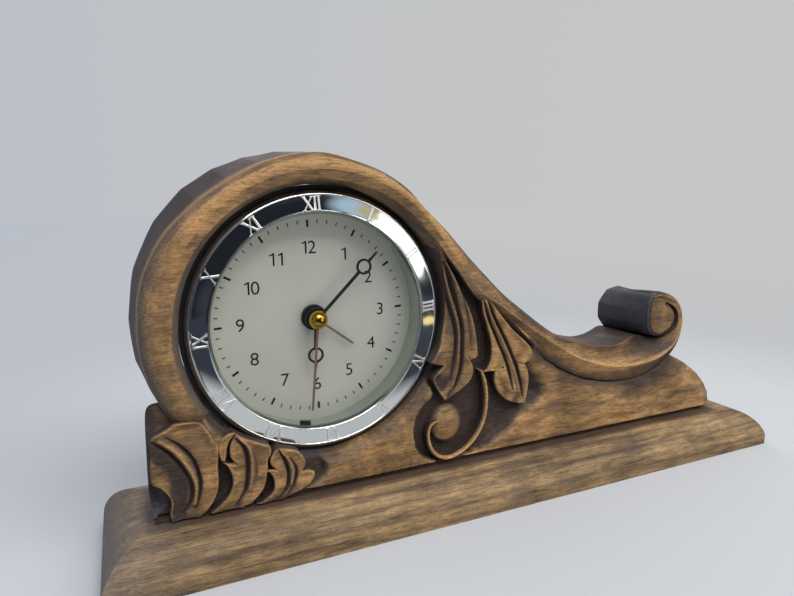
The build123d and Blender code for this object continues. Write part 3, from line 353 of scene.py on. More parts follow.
def stain_at_joint(tree, colour, fine, patches, place):
    """A painted shadow: dark where the distance to the body's foot, the larger of those along X
    and Y, is under about 2 mm, with a ragged border. The plinth's left end is painted greyer and
    darker too, a painted shade for its dim side."""
    middle, half = (body_low + body_high) / 2, (body_high - body_low) / 2
    spot = add(tree, "SeparateXYZ", {0: place}, None).outputs
    gaps = []
    for axis in (0, 1):
        gap = add(tree, "Math", {0: spot[axis], 1: middle[axis]}, operation="SUBTRACT")
        gap = add(tree, "Math", {0: gap}, operation="ABSOLUTE")
        gaps.append(add(tree, "Math", {0: gap, 1: half[axis]}, operation="SUBTRACT"))
    gap = add(tree, "Math", {0: gaps[0], 1: gaps[1]}, operation="MAXIMUM")
    gap = add(tree, "Math", {0: patches, 1: -0.003, 2: gap}, operation="MULTIPLY_ADD")
    joint_shadow = add(tree, "MapRange", {"Value": gap, "From Min": 0.0022, "From Max": -0.0006,
                                    "To Max": 0.85})
    colour = add(tree, "Mix", {0: joint_shadow, 6: colour, 7: linear("#372A25")}, 2, **BLEND)
    # painted shade: the plinth's left end turns darker and greyer, as that side gets little light
    left_end = add(tree, "MapRange", {"Value": spot[0], "From Min": -0.132, "From Max": -0.158,
                                      "To Max": 0.6})
    return stain_over(tree, colour, left_end, linear("#6C625A"), fine)


print("stains ready")

# %% [markdown]
# ## Stained wood
# A picture of wood could be wrapped round the shapes, but noise has no seams and is as fine as
# it needs to be. Noise of scale 170 per metre has spots of about 6 mm. The grain runs along the
# board, so for pores and streaks the noise is made 9 times finer across it: pores are 6 mm by
# 0.7 mm, streaks 45 mm by 5 mm. Cloudy patches of 24 mm, smudges of 10 mm and specks of 1 mm
# keep their round shape. The satin oil finish gives soft, broad lights and no mirror image.

# %% Wood


def wood(name, crest, middle, smudged, rough, wave, narrow, overlay):
    """Streaks mix two browns, and patches, pores and specks multiply them. wave is how far in
    metres the grain wanders, narrow how much finer it is across, and overlay adds the staining
    with the painted shade and painted highlights."""
    material, tree, place = start_material(name)
    bend = add(tree, "TexNoise", {"Vector": place, "Scale": 16, "Detail": 1}, 1)
    bend = add(tree, "VectorMath", {0: bend, 1: (0.0, wave, wave)}, operation="MULTIPLY")
    bent = add(tree, "VectorMath", {0: place, 1: bend}, operation="ADD")
    grain = add(tree, "Mapping", {"Vector": bent, "Scale": (1, narrow, narrow),
                                  "Rotation": (0, math.radians(1.5), 0)})
    pores, streaks, patches, specks, smudges = (
        add(tree, "TexNoise", {"Vector": vector, "Scale": scale, "Detail": detail,
                               "Roughness": roughness})
        for vector, scale, detail, roughness in (
            (grain, 170, 6, 0.75), (grain, 22, 6, 0.65), (bent, 42, 6, 0.6),
            (place, 900, 2, 0.7), (bent, 95, 4, 0.6)))
    tone, cloud, pore, speck, smudge = (
        add(tree, "MapRange", {"Value": noise, "From Min": low, "From Max": high,
                               "To Min": first, "To Max": last})
        for noise, low, high, first, last in (
            (streaks, 0.36, 0.64, 0, 1), (patches, 0.38, 0.64, 1.15, 0.62),
            (pores, 0.38, 0.58, 0.52, 1.14), (specks, 0.3, 0.6, 0.86, 1.06),
            (smudges, 0.5, 0.72, 0, 0.55)))
    fine = add(tree, "Math", {0: pore, 1: speck}, operation="MULTIPLY")
    colour = add(tree, "Mix", {0: tone, 6: linear(middle), 7: linear(crest)}, 2, **BLEND)
    for factor in (cloud, fine):
        colour = add(tree, "Mix", {0: 1.0, 6: colour, 7: factor}, 2, **TIMES)
    colour = add(tree, "Mix", {0: smudge, 6: colour, 7: linear(smudged)}, 2, **BLEND)
    # end grain drinks more stain, so faces that look along the board are darker; their grey is
    # painted shade for the dim, cool light on the clock's sides
    along = add(tree, "SeparateXYZ", {0: add(tree, "TexCoord", out="Normal")})
    along = add(tree, "Math", {0: along}, operation="ABSOLUTE")
    end_grain_and_side_shade = add(tree, "MapRange", {"Value": along, "From Min": 0.3, "From Max": 0.8,
                                       "To Max": 0.85})
    colour = stain_over(tree, colour, end_grain_and_side_shade, linear("#56504C"), fine)
    colour = overlay(tree, colour, fine, patches, place)
    bump = add(tree, "Bump", {"Height": pores, "Strength": 0.5, "Distance": 0.0004})
    bump = add(tree, "Bump", {"Height": specks, "Strength": 0.25, "Distance": 0.0002,
                              "Normal": bump})
    sheen = add(tree, "MapRange", {"Value": pores, "To Min": rough + 0.1,
                                   "To Max": rough - 0.08})
    shader = add(tree, "BsdfPrincipled", {"Base Color": colour, "Roughness": sheen,
                                          "Normal": bump, "Specular IOR Level": 0.22})
    add(tree, "OutputMaterial", {"Surface": shader}, None)
    return material


carved_wood = wood("brown stained carved wood, satin", "#9F7B4F", "#675036", "#54463C", 0.58,
                   0.005, 9, stain_in_cuts)
plinth_wood = wood("brown stained plinth wood, satin", "#9E825B", "#584735", "#5E5046", 0.6,
                   0.0015, 14, stain_at_joint)
print("wood ready")

# %% [markdown]
# ## Metals, plastics and paints
# The insert is made of plated, painted and moulded parts. Each gets fine unevenness of colour,
# roughness and surface, because a perfectly even value looks like nothing that was ever made.
# The fine grain is 1 mm where nothing else is said: coarser than real, so that it shows.

# %% Plain finishes


def even(name, code, rough, metal=0.0, scale=900.0, vary=0.08, bump=0.1, ior_level=0.5):
    """Colour times 1 less or more vary by cloudy noise of 22 mm, roughness 0.06 less or more
    by fine noise of the given scale per metre, and that noise as a bump of 0.1 mm."""
    material, tree, place = start_material(name)
    grain = add(tree, "TexNoise", {"Vector": place, "Scale": scale, "Detail": 3})
    cloud = add(tree, "TexNoise", {"Vector": place, "Scale": 45, "Detail": 2})
    level = add(tree, "MapRange", {"Value": cloud, "To Min": 1 - vary, "To Max": 1 + vary})
    colour = add(tree, "Mix", {0: 1.0, 6: linear(code), 7: level}, 2, **TIMES)
    sheen = add(tree, "MapRange", {"Value": grain, "To Min": max(rough - 0.06, 0.01),
                                   "To Max": rough + 0.06})
    height = add(tree, "Bump", {"Height": grain, "Strength": bump, "Distance": 0.0001})
    shader = add(tree, "BsdfPrincipled", {
        "Base Color": colour, "Roughness": sheen, "Normal": height, "Metallic": metal,
        "Specular IOR Level": ior_level})
    add(tree, "OutputMaterial", {"Surface": shader}, None)
    return material


# plated: a mirror with hardly any colour of its own, and its satin kind, a broad bright light
chrome = even("polished chrome plate", "#DADDDB", 0.06, 1.0, 120, 0.02, 0.02)
chrome_satin = even("satin chrome plate", "#F0ECEA", 0.4, 1.0, 700, 0.03, 0.1)
steel = even("zinc-plated steel", "#B4B6B8", 0.35, 1.0, 600, 0.06, 0.1)
# polished or rolled: warm and sharp on the cap, duller on the sounder, grey on the iron sheet
brass = even("polished brass", "#E0B048", 0.16, 1.0, 200, 0.03, 0.02)
sounder_brass = even("thin brass sounder disc", "#C8A45C", 0.3, 1.0)
iron = even("soft iron sheet", "#8C8C8E", 0.5, 1.0, 400, 0.08, 0.1)
# moulded: an even tone with a soft, broad light, rougher where the mould was textured
case_black = even("black moulded case plastic", "#1B1B1D", 0.5, bump=0.25, ior_level=0.2)
cover_black = even("black textured cover plastic", "#343437", 0.5, bump=0.35)
knob_grey = even("dark grey moulded knob plastic", "#4A4A4E", 0.45, bump=0.2)
reflector_plastic = even("pale green moulded reflector plastic", "#B4BEB0", 0.35)
movement_plastic = even("natural moulded plastic", "#D8D6CC", 0.5)
wheel_plastic = even("white acetal", "#E0DDD0", 0.4)
rubber = even("black rubber", "#202020", 0.8, bump=0.4)
# painted and printed: flat tones with almost no light on the dial, and a thin sheen on hands
dial_paint = even("off-white matt dial paint", "#EEEAE0", 0.65, bump=0.05)
dial_ink = even("black matt printing ink", "#131316", 0.6, bump=0.05)
hand_black = even("black matt hand lacquer", "#26262C", 0.45)
hand_copper = even("copper coloured hand lacquer", "#A5846E", 0.4, 0.3)
# wound, laminated and wrapped: seen only through gaps, so each is known by its colour
copper_wire = even("enamelled copper wire", "#9A4F2A", 0.3, 0.6, 500, 0.1, 0.2)
board_green = even("green circuit board", "#2C6440", 0.35)
cell_wrap = even("plain blue cell wrap", "#1C3F7A", 0.3)
print("plain finishes ready")

# %% [markdown]
# ## Glass
# The flat crystal is clear: it shows a faint reflection, stronger where it is seen at a slant,
# and lets the light through. Real refracting glass would need far more samples, so a clear
# shader is mixed with a gloss by the angle of view.

# %% Glass
crystal_glass, tree, place = start_material("clear flat glass")
smear = add(tree, "TexNoise", {"Vector": place, "Scale": 60, "Detail": 2})
smear = add(tree, "MapRange", {"Value": smear, "To Max": 0.05})
tint = add(tree, "Mix", {0: smear, 6: linear("#FCFDFC"), 7: linear("#EEF3F0")}, 2, **BLEND)
clear = add(tree, "BsdfTransparent", {"Color": tint})
gloss = add(tree, "BsdfGlossy", {"Roughness": 0.02})
facing = add(tree, "Fresnel", {"IOR": 1.45})
facing = add(tree, "Math", {0: facing, 1: 0.8}, operation="MULTIPLY")
pane = add(tree, "MixShader", {0: facing, 1: clear, 2: gloss})
add(tree, "OutputMaterial", {"Surface": pane}, None)
print("glass ready")

# %% [markdown]
# ## Finishes on the CAD parts
# The parts whose shape is already right keep their CAD mesh and only get their finish.

# %% CAD finishes
finishes = [
    (plinth_wood, "plinth"), (case_black, "case_drum"), (rubber, "grip_ring"),
    (crystal_glass, "crystal"), (reflector_plastic, "reflector_ring"), (dial_paint, "dial"),
    (steel, "plinth_screws cover_screws positive_contact negative_contact"),
    (hand_black, "dial_nut minute_hand hour_hand"), (hand_copper, "second_hand alarm_hand"),
    (brass, "minute_tube second_cap"), (sounder_brass, "buzzer"), (iron, "stator rotor"),
    (movement_plastic, "movement_plate movement_base"), (copper_wire, "motor_coil"),
    (board_green, "circuit_board"), (cell_wrap, "battery"),
    (wheel_plastic, "fifth_wheel seconds_wheel third_wheel centre_wheel motion_wheel "
                    "hour_wheel alarm_wheel time_set_shaft alarm_set_shaft"),
    (knob_grey, "time_knob alarm_knob alarm_switch"), (cover_black, "rear_cover battery_door"),
]
for finish, names in finishes:
    for name in names.split():
        for material_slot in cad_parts[name].material_slots:
            material_slot.material = finish
print(sum(len(names.split()) for finish, names in finishes), "CAD parts finished")

# %% [markdown]
# ## Stations of the ring and the ribbon
# One moulding runs from the foot of the ring over the top, down the slope and round the scroll.
# It could be three separate pieces, but then its ridge would break at the joints. So it is a
# section carried along three edges: the outer edge, the crest and the inner edge. A row of
# numbers is one station, and round the dial a function of the angle gives it.

# %% Stations
CREST_RADIUS = 60.0


def ring_station(angle, outer, back, sink=0.0):
    """Outer edge, crest and inner edge on circles round the dial. The flare is the back radius
    less the outer one, and sink takes the ring's left foot back under the leaves there. The
    bevel reaches nearer to the bezel on the right side."""
    turn = np.array([math.cos(math.radians(angle)), math.sin(math.radians(angle))])
    inside = 56.2 - 0.8 * math.sin(math.radians(angle)) ** 2
    bevel = inside - 53.8 + 0.8 * float(ease((85 - angle) / 30))
    edges = [turn * outer, turn * CREST_RADIUS, turn * inside]
    flat = [value for edge in edges for value in (edge[0], edge[1] + AXIS)]
    return flat + [-12.6, FACE + sink, -17.0 + sink, 0.0, bevel, back - outer, 26.0, 0.0, 0.12]


# angle, radius of the front ridge, radius at the back: cut by hand, so never quite round
ring_measures = [
    (213, 64.6, 66.6, 2.6), (210, 65.4, 67.8, 1.4), (206, 66, 68.6, 0.3), (200, 66.4, 69.2),
    (190, 66.8, 69.6), (180, 67.2, 69.6), (165, 67.7, 69.9), (150, 67.2, 70.2),
    (135, 65.2, 70.2), (120, 64.3, 69.3), (105, 64.9, 67.9), (90, 65.4, 67.2),
    (77, 64.2, 65.4), (64, 63.4, 64.2), (52, 62.7, 63.3), (42, 62.6, 63.1)]
stations = [ring_station(*measure) for measure in ring_measures]
# across and up of outer edge, crest and inner edge, their three depths, then cove, bevel,
# flare, flare's depth, roll of the side, and overlay, which adds stain and, near the scroll,
# painted shade
stations += [
    [54.6, 121.6, 51.6, 118.9, 48.9, 117.1, -13.5, -17.7, -16.8, 0, 2.6, 0.8, 10, 0.3, 0.1],
    [60.2, 115.0, 55.8, 112.6, 52.6, 112.4, -14.5, -17.6, -16.8, 0, 0.6, 1.3, 7, 0.6, 0.1],
    [67.0, 106.8, 61.4, 105.7, 58.3, 105.1, -15.0, -17.5, -17.0, 0, 0.3, 1.8, 6, 0.8, 0.1],
    [75.0, 98.2, 67.4, 97.7, 64.6, 96.4, -15.5, -17.6, -17.0, 0, 0.3, 2.1, 6, 1.0, 0.1],
    [80.0, 92.8, 72.5, 92.9, 69.5, 91.5, -16.0, -17.7, -16.2, 0, 0.3, 2.4, 6, 1.0, 0.1],
    [84.0, 88.7, 79.3, 88.6, 76.0, 87.2, -16.5, -17.8, -14.4, 0, 0.2, 2.8, 6, 1.0, 0.15],
    [89.0, 84.2, 86.3, 83.6, 83.4, 79.4, -16.9, -17.8, -13.4, 0, 0.2, 3.3, 6, 1.0, 0.15],
    [95.2, 79.0, 93.1, 78.6, 90.2, 72.9, -17.2, -17.8, -12.8, 0, 0.2, 3.6, 6, 1.0, 0.15],
    [103.6, 72.9, 102.6, 72.1, 98.6, 66.0, -17.2, -17.8, -13.6, 0, 0.2, 3.5, 6, 1.0, 0.15],
    [113.9, 68.6, 112.4, 65.8, 108.2, 59.2, -16.0, -17.8, -14.4, 0.5, 0.2, 1.7, 5, 1.0, 0.2],
    [123.8, 65.9, 121.3, 60.4, 117.6, 53.4, -15.4, -17.8, -14.8, 1.2, 0.2, 0.2, 8, 1.0, 0.15],
    [134.0, 63.2, 132.1, 55.6, 129.0, 48.2, -15.2, -17.8, -15.0, 1.7, 0.2, -0.6, 26, 0.6, 0.1],
    [146.5, 61.6, 145.6, 52.0, 144.0, 44.4, -15.2, -17.8, -15.2, 2.1, 0.2, -2.0, 26, 0.3, 0.1],
    [154.2, 62.4, 156.9, 50.6, 157.9, 43.5, -14.9, -17.8, -15.4, 2.5, 0.2, -2.6, 26, 0.2, 0.15],
    [160.0, 64.4, 166.8, 51.0, 168.6, 44.6, -14.0, -17.8, -15.6, 2.8, 0.2, -3.0, 26, 0.2, 0.35],
    [166.2, 64.4, 174.4, 52.3, 176.6, 47.4, -12.6, -17.8, -15.8, 2.6, 0.2, -1.0, 20, 0.6, 0.6],
    [172.5, 62.4, 179.9, 54.3, 182.4, 51.0, -11.6, -17.8, -16.2, 1.6, 0.2, 0.0, 3, 1.0, 0.65],
    [178.6, 61.4, 184.9, 57.4, 187.0, 55.8, -12.6, -17.8, -16.6, 0.6, 0.2, 0.0, 3, 1.0, 0.5],
    [183.4, 62.8, 188.4, 61.9, 190.0, 61.2, -14.8, -17.8, -16.8, 0.2, 0.2, 0.0, 3, 1.0, 0.25],
    [187.0, 66.8, 190.1, 66.9, 191.3, 66.9, -17.0, -17.8, -16.9, 0, 0.2, 0.0, 3, 1.0, 0.05],
    [188.2, 71.6, 190.3, 71.9, 191.3, 72.0, -17.2, -17.8, -16.9, 0, 0.2, 0.0, 3, 1.0, 0.0],
    [186.8, 76.4, 188.6, 77.4, 189.4, 77.9, -17.0, -17.8, -16.9, 0, 0.2, 0.0, 3, 1.0, 0.0],
    [183.4, 79.4, 184.9, 81.4, 185.5, 82.4, -16.6, -17.7, -16.6, 0, 0.2, 0.0, 3, 1.0, 0.1],
    [179.6, 80.8, 179.9, 83.8, 180.0, 85.3, -16.2, -17.5, -16.4, 0, 0.2, 0.0, 3, 1.0, 0.2],
    [175.6, 81.6, 175.6, 84.7, 175.5, 86.3, -15.6, -17.2, -15.8, 0, 0.2, 0.0, 3, 1.0, 0.4],
    [172.2, 81.4, 171.8, 84.4, 171.6, 86.0, -15.2, -16.6, -15.2, 0, 0.2, 0.0, 3, 1.0, 0.6],
]
path = smooth_curve(np.array(stations), 620)
outer, crest, inner = path[:, None, 0:2], path[:, None, 2:4], path[:, None, 4:6]
outer_y, crest_y, inner_y, cove, bevel, flare, flare_y, roll, overlay = \
    path[:, 6:, None].transpose(1, 0, 2)
print(len(stations), "stations")

# %% [markdown]
# ## The surface of the ring and the ribbon
# At each station the section runs from the back over the flared side, up the outer slope to
# the crest, down the inner slope, and back along the wall of the hole. The side was cut with
# long chisel strokes, which leave flats of about 15 mm with soft ridges between them.

# %% Ring and ribbon
FLAT_LENGTH, FLAT_DEPTH = 15.0, 0.42
SCROLL_MIDDLE = np.array([177.0, 72.6])


def sideways(edge, away_from):
    """Unit vectors across an edge, pointing away from another edge."""
    along = np.gradient(edge[:, 0], axis=0)
    across = np.stack([along[:, 1], -along[:, 0]], 1)
    across = across / np.maximum(np.linalg.norm(across, axis=1, keepdims=True), 1e-9)
    side = np.sign((across * (edge - away_from)[:, 0]).sum(1, keepdims=True))
    return (across * side)[:, None]


outward, inward = sideways(outer, inner), sideways(inner, outer)
arc = np.concatenate([[0], np.cumsum(np.linalg.norm(np.diff(outer[:, 0], axis=0), axis=1))])
arc = arc[:, None]
left_to_go = arc[-1] - arc
facet = np.abs(np.sin(math.pi * (arc / FLAT_LENGTH + 0.3 * np.sin(arc / 19.0))))
facet = FLAT_DEPTH * facet * ease((205 - arc) / 40)
u, v, w = np.linspace(1, 0, 17)[:-1], np.linspace(0, 1, 13), np.linspace(1, 0, 11)[:-1]
# a soft shoulder on the ring becomes a sharp ridge on the ribbon
sharp = ease((arc - 225) / 40)
shoulder = (0.35 * (1 - np.sqrt(1 - u ** 2)) + 0.65 * u ** 2) * (1 - sharp) + u * sharp
roof = crest_y + (outer_y - crest_y) * shoulder + cove * 4 * u * (1 - u)
fall = crest_y + (inner_y - crest_y) * v ** (1.6 - 0.6 * ease((arc - 250) / 40))
bend_out = (1 - roll) * w + roll * np.sin(w * math.pi / 2)
bend_back = (1 - roll) * w + roll * (1 - np.cos(w * math.pi / 2))
side_spots = outer + outward * (flare * bend_out - facet * ease(w * 3))[..., None]
side_y = outer_y + flare_y * bend_back
back_out = outer + outward * (flare - facet)[..., None]
back_y = np.full_like(outer_y, BACK - 0.05)
front_outer = outer * u[:, None] + crest * (1 - u[:, None])
front_inner = crest * (1 - v[:, None]) + inner * v[:, None]
foot = inner + inward * bevel[..., None]
foot_y = np.maximum(inner_y, -13.2)
wall_y = np.full_like(foot_y, -6.3)
spots = np.concatenate([back_out, side_spots, front_outer, front_inner, foot, foot, foot], 1)
depths = np.concatenate([back_y, side_y, roof, fall, foot_y, wall_y, back_y], 1)
# the scroll narrows a little towards the back, round its own middle
near_scroll = ease((18 - np.linalg.norm(inner[:, 0] - SCROLL_MIDDLE, axis=1)) / 3)[:, None]
near_scroll = near_scroll * ease((90 - left_to_go) / 25)
at_end = 0.13 + 0.09 * ease((14 - left_to_go) / 12)
narrow = 1 - at_end * near_scroll * ease((depths - FACE - 3) / 30)
spots = SCROLL_MIDDLE + (spots - SCROLL_MIDDLE) * narrow[..., None]
section = np.stack([spots[..., 0], depths, spots[..., 1]], -1)
rows, columns = section.shape[:2]
line = np.arange(columns)
ribbon_faces = [grid_faces(rows, columns, wrap_columns=True), line[::-1],
                line + (rows - 1) * columns]
print("ring and ribbon", rows, "by", columns)

# %% [markdown]
# ## Stain, painted shade, wear and painted highlights on the ring
# Stain and painted shade lie on the sides, in the dip before the scroll and down in the hole,
# whose wall is painted lighter on the right. The crest was rubbed bright and has painted
# highlights on its ridges, most of all at the top of the ring, where hands and cloths reach it
# and the light from above falls.

# %% Ring marks
# painted shade, darker the deeper a point lies behind the face
low = ease((depths - FACE - 1.5) / 5)
# painted shade in the dip before the scroll and on the ring's sides; the hole's wall is painted
# lighter on the right
dip = np.exp(-((outer[:, :, 0] - 160) / 14) ** 2) * (left_to_go > 60)
on_ring = ease((235 - arc) / 30)
right_wall = on_ring * ease((crest[:, :, 0] - 5) / 20)
side_painted_shade = dip * 0.4 + on_ring * 0.25
shade = np.concatenate([
    0.5 + side_painted_shade, low[:, 1:11] * 0 + 0.45 + side_painted_shade, low[:, 11:27] * 0.45,
    low[:, 27:40] + 0.5 * sharp * v ** 2, 0.9 - 0.45 * on_ring - 0.25 * right_wall,
    1 - 0.45 * right_wall, np.ones_like(back_y)], 1)
shade = np.clip(shade + overlay, 0, 1)
# wear with painted highlights on the ribbon's ridge, on the ring's outer edge and along the
# crest, most at the top
wear_and_highlight = np.zeros_like(shade)
wear_and_highlight[:, 26:28] = sharp * 0.8
wear_and_highlight[:, 10:12] = on_ring * 0.6
high_up = ease((crest[:, :, 1] - AXIS - 18 + 14 * (crest[:, :, 0] > 0)) / 30)
wear_and_highlight[:, 17:30] = np.maximum(wear_and_highlight[:, 17:30], (0.1 + 0.6 * high_up) * on_ring)
ring_ribbon = add_piece("ring_ribbon", section.reshape(-1, 3), ribbon_faces, "clock",
                        carved_wood, {"shade": shade.ravel(), "wear_and_highlight": wear_and_highlight.ravel()},
                        24)
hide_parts("carved_body")

# %% [markdown]
# ## Outlines on the board
# Behind the leaves lies the board's ground. Its outline follows the ring, the slope and the two
# ends, and closed curves on it are the pockets that were dug out round the leaves.

# %% Board outlines
left_side = [(-67.6, 27), (-67.8, 36), (-67.5, 47), (-67.2, 54.8), (-66.6, 60.4), (-65.2, 62.8)]
right_side = [(185.8, 58.0), (187.4, 53.6), (190.2, 50.8), (197.4, 47.2), (204.8, 42.6),
              (211.2, 37.6), (216.2, 32.4), (219.6, 27.4), (221.2, 22.6), (221.6, 18.65)]
board_outline = smooth_curve([(-66.4, 18.65), (-66.4, 18.65)] + left_side + [
    (-62.4, 63.3), (-60.0, 63.3), (-60.0, 63.3), (-64.0, 80), (-64.5, 92), (-61, 108),
    (-52, 125), (-38, 139.5), (-20, 148.6), (0, 151.5), (20, 148.6), (38, 139), (50, 124.5),
    (58, 112), (66, 102.5), (75, 93.0), (86, 81.5), (98, 71.0), (112, 62.0), (130, 54.5),
    (150, 50), (165, 50), (176, 53), (185.8, 58.0)] + right_side + [
    (221.6, 18.65), (150, 18.65), (80, 18.65), (0, 18.65), (-66.4, 18.65)], 1500)[:-1]
right_end = smooth_curve(right_side, 80)
left_end = smooth_curve(left_side + [(-60.0, 63.3)], 50)
right_pocket = smooth_curve([
    (51, 116), (58.3, 106), (64.6, 97.5), (70, 92.5), (78, 89), (86, 80), (94, 72), (99, 67),
    (100, 60), (104.3, 53.6), (108.2, 46.8), (107.5, 40.6), (101.3, 36.1), (94.2, 32.6),
    (87.3, 26), (77, 23.3), (65.2, 21.7), (56.3, 20.6), (49.1, 21.1), (42.8, 23.9), (39, 29),
    (37.9, 36.5), (39.1, 42.7), (42.9, 47.8), (46.4, 50.4), (46.7, 53.6), (43.9, 59.4),
    (43.9, 63.9), (46.4, 66.6), (51, 72), (54, 80), (54.6, 95), (53.6, 103), (51, 116)], 240)
pocket_ab = smooth_curve([
    (-42.5, 39.6), (-40.2, 37.3), (-38.2, 33.3), (-38.2, 29.6), (-39.8, 26.2), (-42.8, 23.1),
    (-48.4, 20.2), (-48.4, 20.2), (-46, 24.3), (-44.6, 28.2), (-44.4, 34.2), (-44, 38),
    (-42.5, 39.6)], 100)
pocket_bc = smooth_curve([
    (-26.3, 32.6), (-23.2, 30.7), (-22.2, 27.3), (-23.0, 23), (-27.3, 20.1), (-32.5, 18.9),
    (-32.5, 18.9), (-28.9, 21.5), (-27.0, 25.5), (-26.7, 29.3), (-26.3, 32.6)], 90)
pocket_c = smooth_curve([
    (-13.5, 38.9), (-6.2, 37.6), (-1.9, 34), (-0.1, 29.1), (-0.9, 25.3), (-4.2, 22),
    (-9.3, 20.6), (-15, 20.4), (-13, 27), (-14, 34), (-13.5, 38.9)], 80)
eye_b = smooth_curve([
    (-37, 48.6), (-39.9, 46), (-40.6, 42.6), (-40.2, 39.6), (-37.8, 38), (-35.8, 37),
    (-36.5, 40.5), (-36.8, 44.5), (-37, 48.6)], 60)
left_cove = smooth_curve([
    (-68.5, 35.6), (-66.1, 34.7), (-63.6, 33), (-61.3, 29.4), (-60.5, 26.3), (-61.6, 22.8),
    (-65.0, 20.6), (-68.5, 20.2), (-68.5, 35.6)], 80)
# the left leaves stand over this field, which is dug out so that their veins stay free
left_field = np.array([
    (-66, 20), (-66, 49), (-60, 53.5), (-54, 55.2), (-49.9, 54), (-46.4, 48.4), (-44.4, 44.8),
    (-42, 44.6), (-41, 47.0), (-37, 48.2), (-32.3, 45.2), (-25, 41), (-22.6, 39), (-16, 38),
    (-11.8, 34), (-11.8, 30.4), (-7.8, 28.0), (-9, 24), (-14, 21.5), (-20, 20)], float)
ribbon_edge = inner[::6, 0]
# outline, how deep it is dug and how wide its sloping wall is
pockets = [(pocket_ab, 4.6, 1.0), (pocket_bc, 4.2, 1.0), (pocket_c, 3.4, 3.2),
           (eye_b, 4.0, 0.8), (left_field, 4.0, 0.6), (left_cove, 5.4, 4.2)]
print("board outline", len(board_outline), "points")

# %% [markdown]
# ## The board's ground
# The ground is a height above the board for every place on it, as relief carving is, so one
# formula can hold it: humps and gouge strokes, soft steps into the pockets, a bevel round the
# hole and chamfers at the ends. Nothing has to be cut out of a solid.

# %% Board ground
HOLE_RADIUS = 54.5


def open_side(spots):
    """1 at the lower right of the hole, where the ground slopes gently down to the bezel: a
    flat bell of the angle round the dial."""
    turn = np.arctan2(spots[:, 1] - AXIS, spots[:, 0])
    return np.exp(-((turn + 1.02) / 0.52) ** 4)


def board_depth(spots):
    """Depth of the ground: the flat ground, less its hump, plus a soft step into each pocket,
    plus the bevel round the hole and the chamfers at the ends. The second result is how far a
    spot lies down in a pocket."""
    a, h = spots.T
    radius = np.hypot(a, h - AXIS)
    ground = np.full(len(spots), FACE + 1.4)
    ground -= 0.9 * np.exp(-((a - 20) / 19) ** 2 - ((h - 33) / 10) ** 2)
    # short gouge strokes: under the ring they run up, on the right they run along
    ground += 0.16 * np.sin(a * 1.5 + 2.0 * np.sin(h * 0.5)) * np.exp(-((a - 20) / 24) ** 2)
    ground += 0.16 * np.sin(h * 1.1 + 1.6 * np.sin(a * 0.21)) * ease((a - 80) / 20)
    ground += 4.2 * ease((h - 49) / 7) * ease((-45 - a) / 6)
    under = line_distance(spots, ribbon_edge)
    trench = ease((a - 96) / 10) * ease((192 - a) / 8)
    ground += trench * (1.5 * np.exp(-(under / 1.3) ** 2) + 1.3 * np.exp(-(under / 6) ** 2))
    soft = 0.9 + 10 * ease((a - 70) / 22) * ease((68 - h) / 9)
    pocket = 4.4 * ease((inside_distance(spots, right_pocket) + 0.3) / soft)
    for outline, deep, width in pockets:
        step = ease((inside_distance(spots, outline) + 0.3) / width)
        pocket = np.maximum(pocket, deep * step)
    gentle = open_side(spots)
    ring_zone = ease((radius - HOLE_RADIUS + 1.6 * gentle) / (3.0 + 2.0 * gentle))
    bevel_step = (1 - ring_zone) * (4.2 - 1.2 * gentle)
    depth = ground + np.maximum(pocket, bevel_step)
    # the right end is a flat chamfer, the left end is knocked off with a few chisel cuts
    depth = depth + 4.6 * np.clip(1 - line_distance(spots, right_end) / 8.5, 0, 1)
    nick = 0.7 + 0.3 * np.abs(np.sin(h * 0.35))
    depth = depth + 4.2 * nick * np.clip(1 - line_distance(spots, left_end) / 3.2, 0, 1)
    depth = depth + 1.8 * ease((21.0 - h) / 0.7)
    # under the ring's moulding the board stays well below the moulding's surface
    under_ring = (radius < 64.5) & (radius > 57) & ((h > 60) & (a < 46) | (a > 30) & (h > 116))
    depth = np.where(under_ring, np.maximum(depth, -11.0), depth)
    return depth, pocket


def board_inside(spots):
    """Above 0 on the wood: inside the outline and outside the round hole for the insert, which
    is a little tighter on the open side."""
    hole = np.hypot(spots[:, 0], spots[:, 1] - AXIS) - HOLE_RADIUS + 1.6 * open_side(spots)
    return np.minimum(inside_distance(spots, board_outline), hole)


print("board ground ready")

# %% [markdown]
# ## The board's grid
# Squares of a fine grid whose corners all lie on the wood are kept. The corners near an edge
# are first moved onto it along the slope of the distance, so the silhouette stays clean. A
# square with one corner outside leaves a triangle.

# %% Board grid
CELL = 0.8
PROBE = 1e-3
across_steps, up_steps = np.arange(-70, 223, CELL), np.arange(18.0, 153.6, CELL)
grid = np.stack(np.meshgrid(across_steps, up_steps, indexing="ij"), -1)
rows, columns = grid.shape[:2]
spots = grid.reshape(-1, 2)
value = board_inside(spots)
near = np.abs(value) < CELL * 0.55
for _ in range(3):
    here = spots[near]
    level = board_inside(here)
    slope = np.stack([board_inside(here + (PROBE, 0)) - level,
                      board_inside(here + (0, PROBE)) - level], 1) / PROBE
    size = np.maximum((slope ** 2).sum(1, keepdims=True), 0.25)
    spots[near] = here - slope / size * level[:, None]
kept = near | (value > 0)
squares = grid_faces(rows, columns)
count = kept[squares].sum(1)
whole, three = squares[count == 4], squares[count == 3]
lost = (~kept[three]).argmax(1)
corners = np.stack([three[np.arange(len(three)), (lost + k) % 4] for k in (1, 2, 3)], 1)
one, two = (spots[corners[:, k]] - spots[corners[:, 0]] for k in (1, 2))
# triangles that the moved corners have flattened go
corners = corners[np.abs(one[:, 0] * two[:, 1] - one[:, 1] * two[:, 0]) > 1e-3]
used = np.unique(np.concatenate([whole.ravel(), corners.ravel()]))
fresh = np.full(len(spots), -1)
fresh[used] = np.arange(len(used))
spots, whole, corners = spots[used], fresh[whole], fresh[corners]
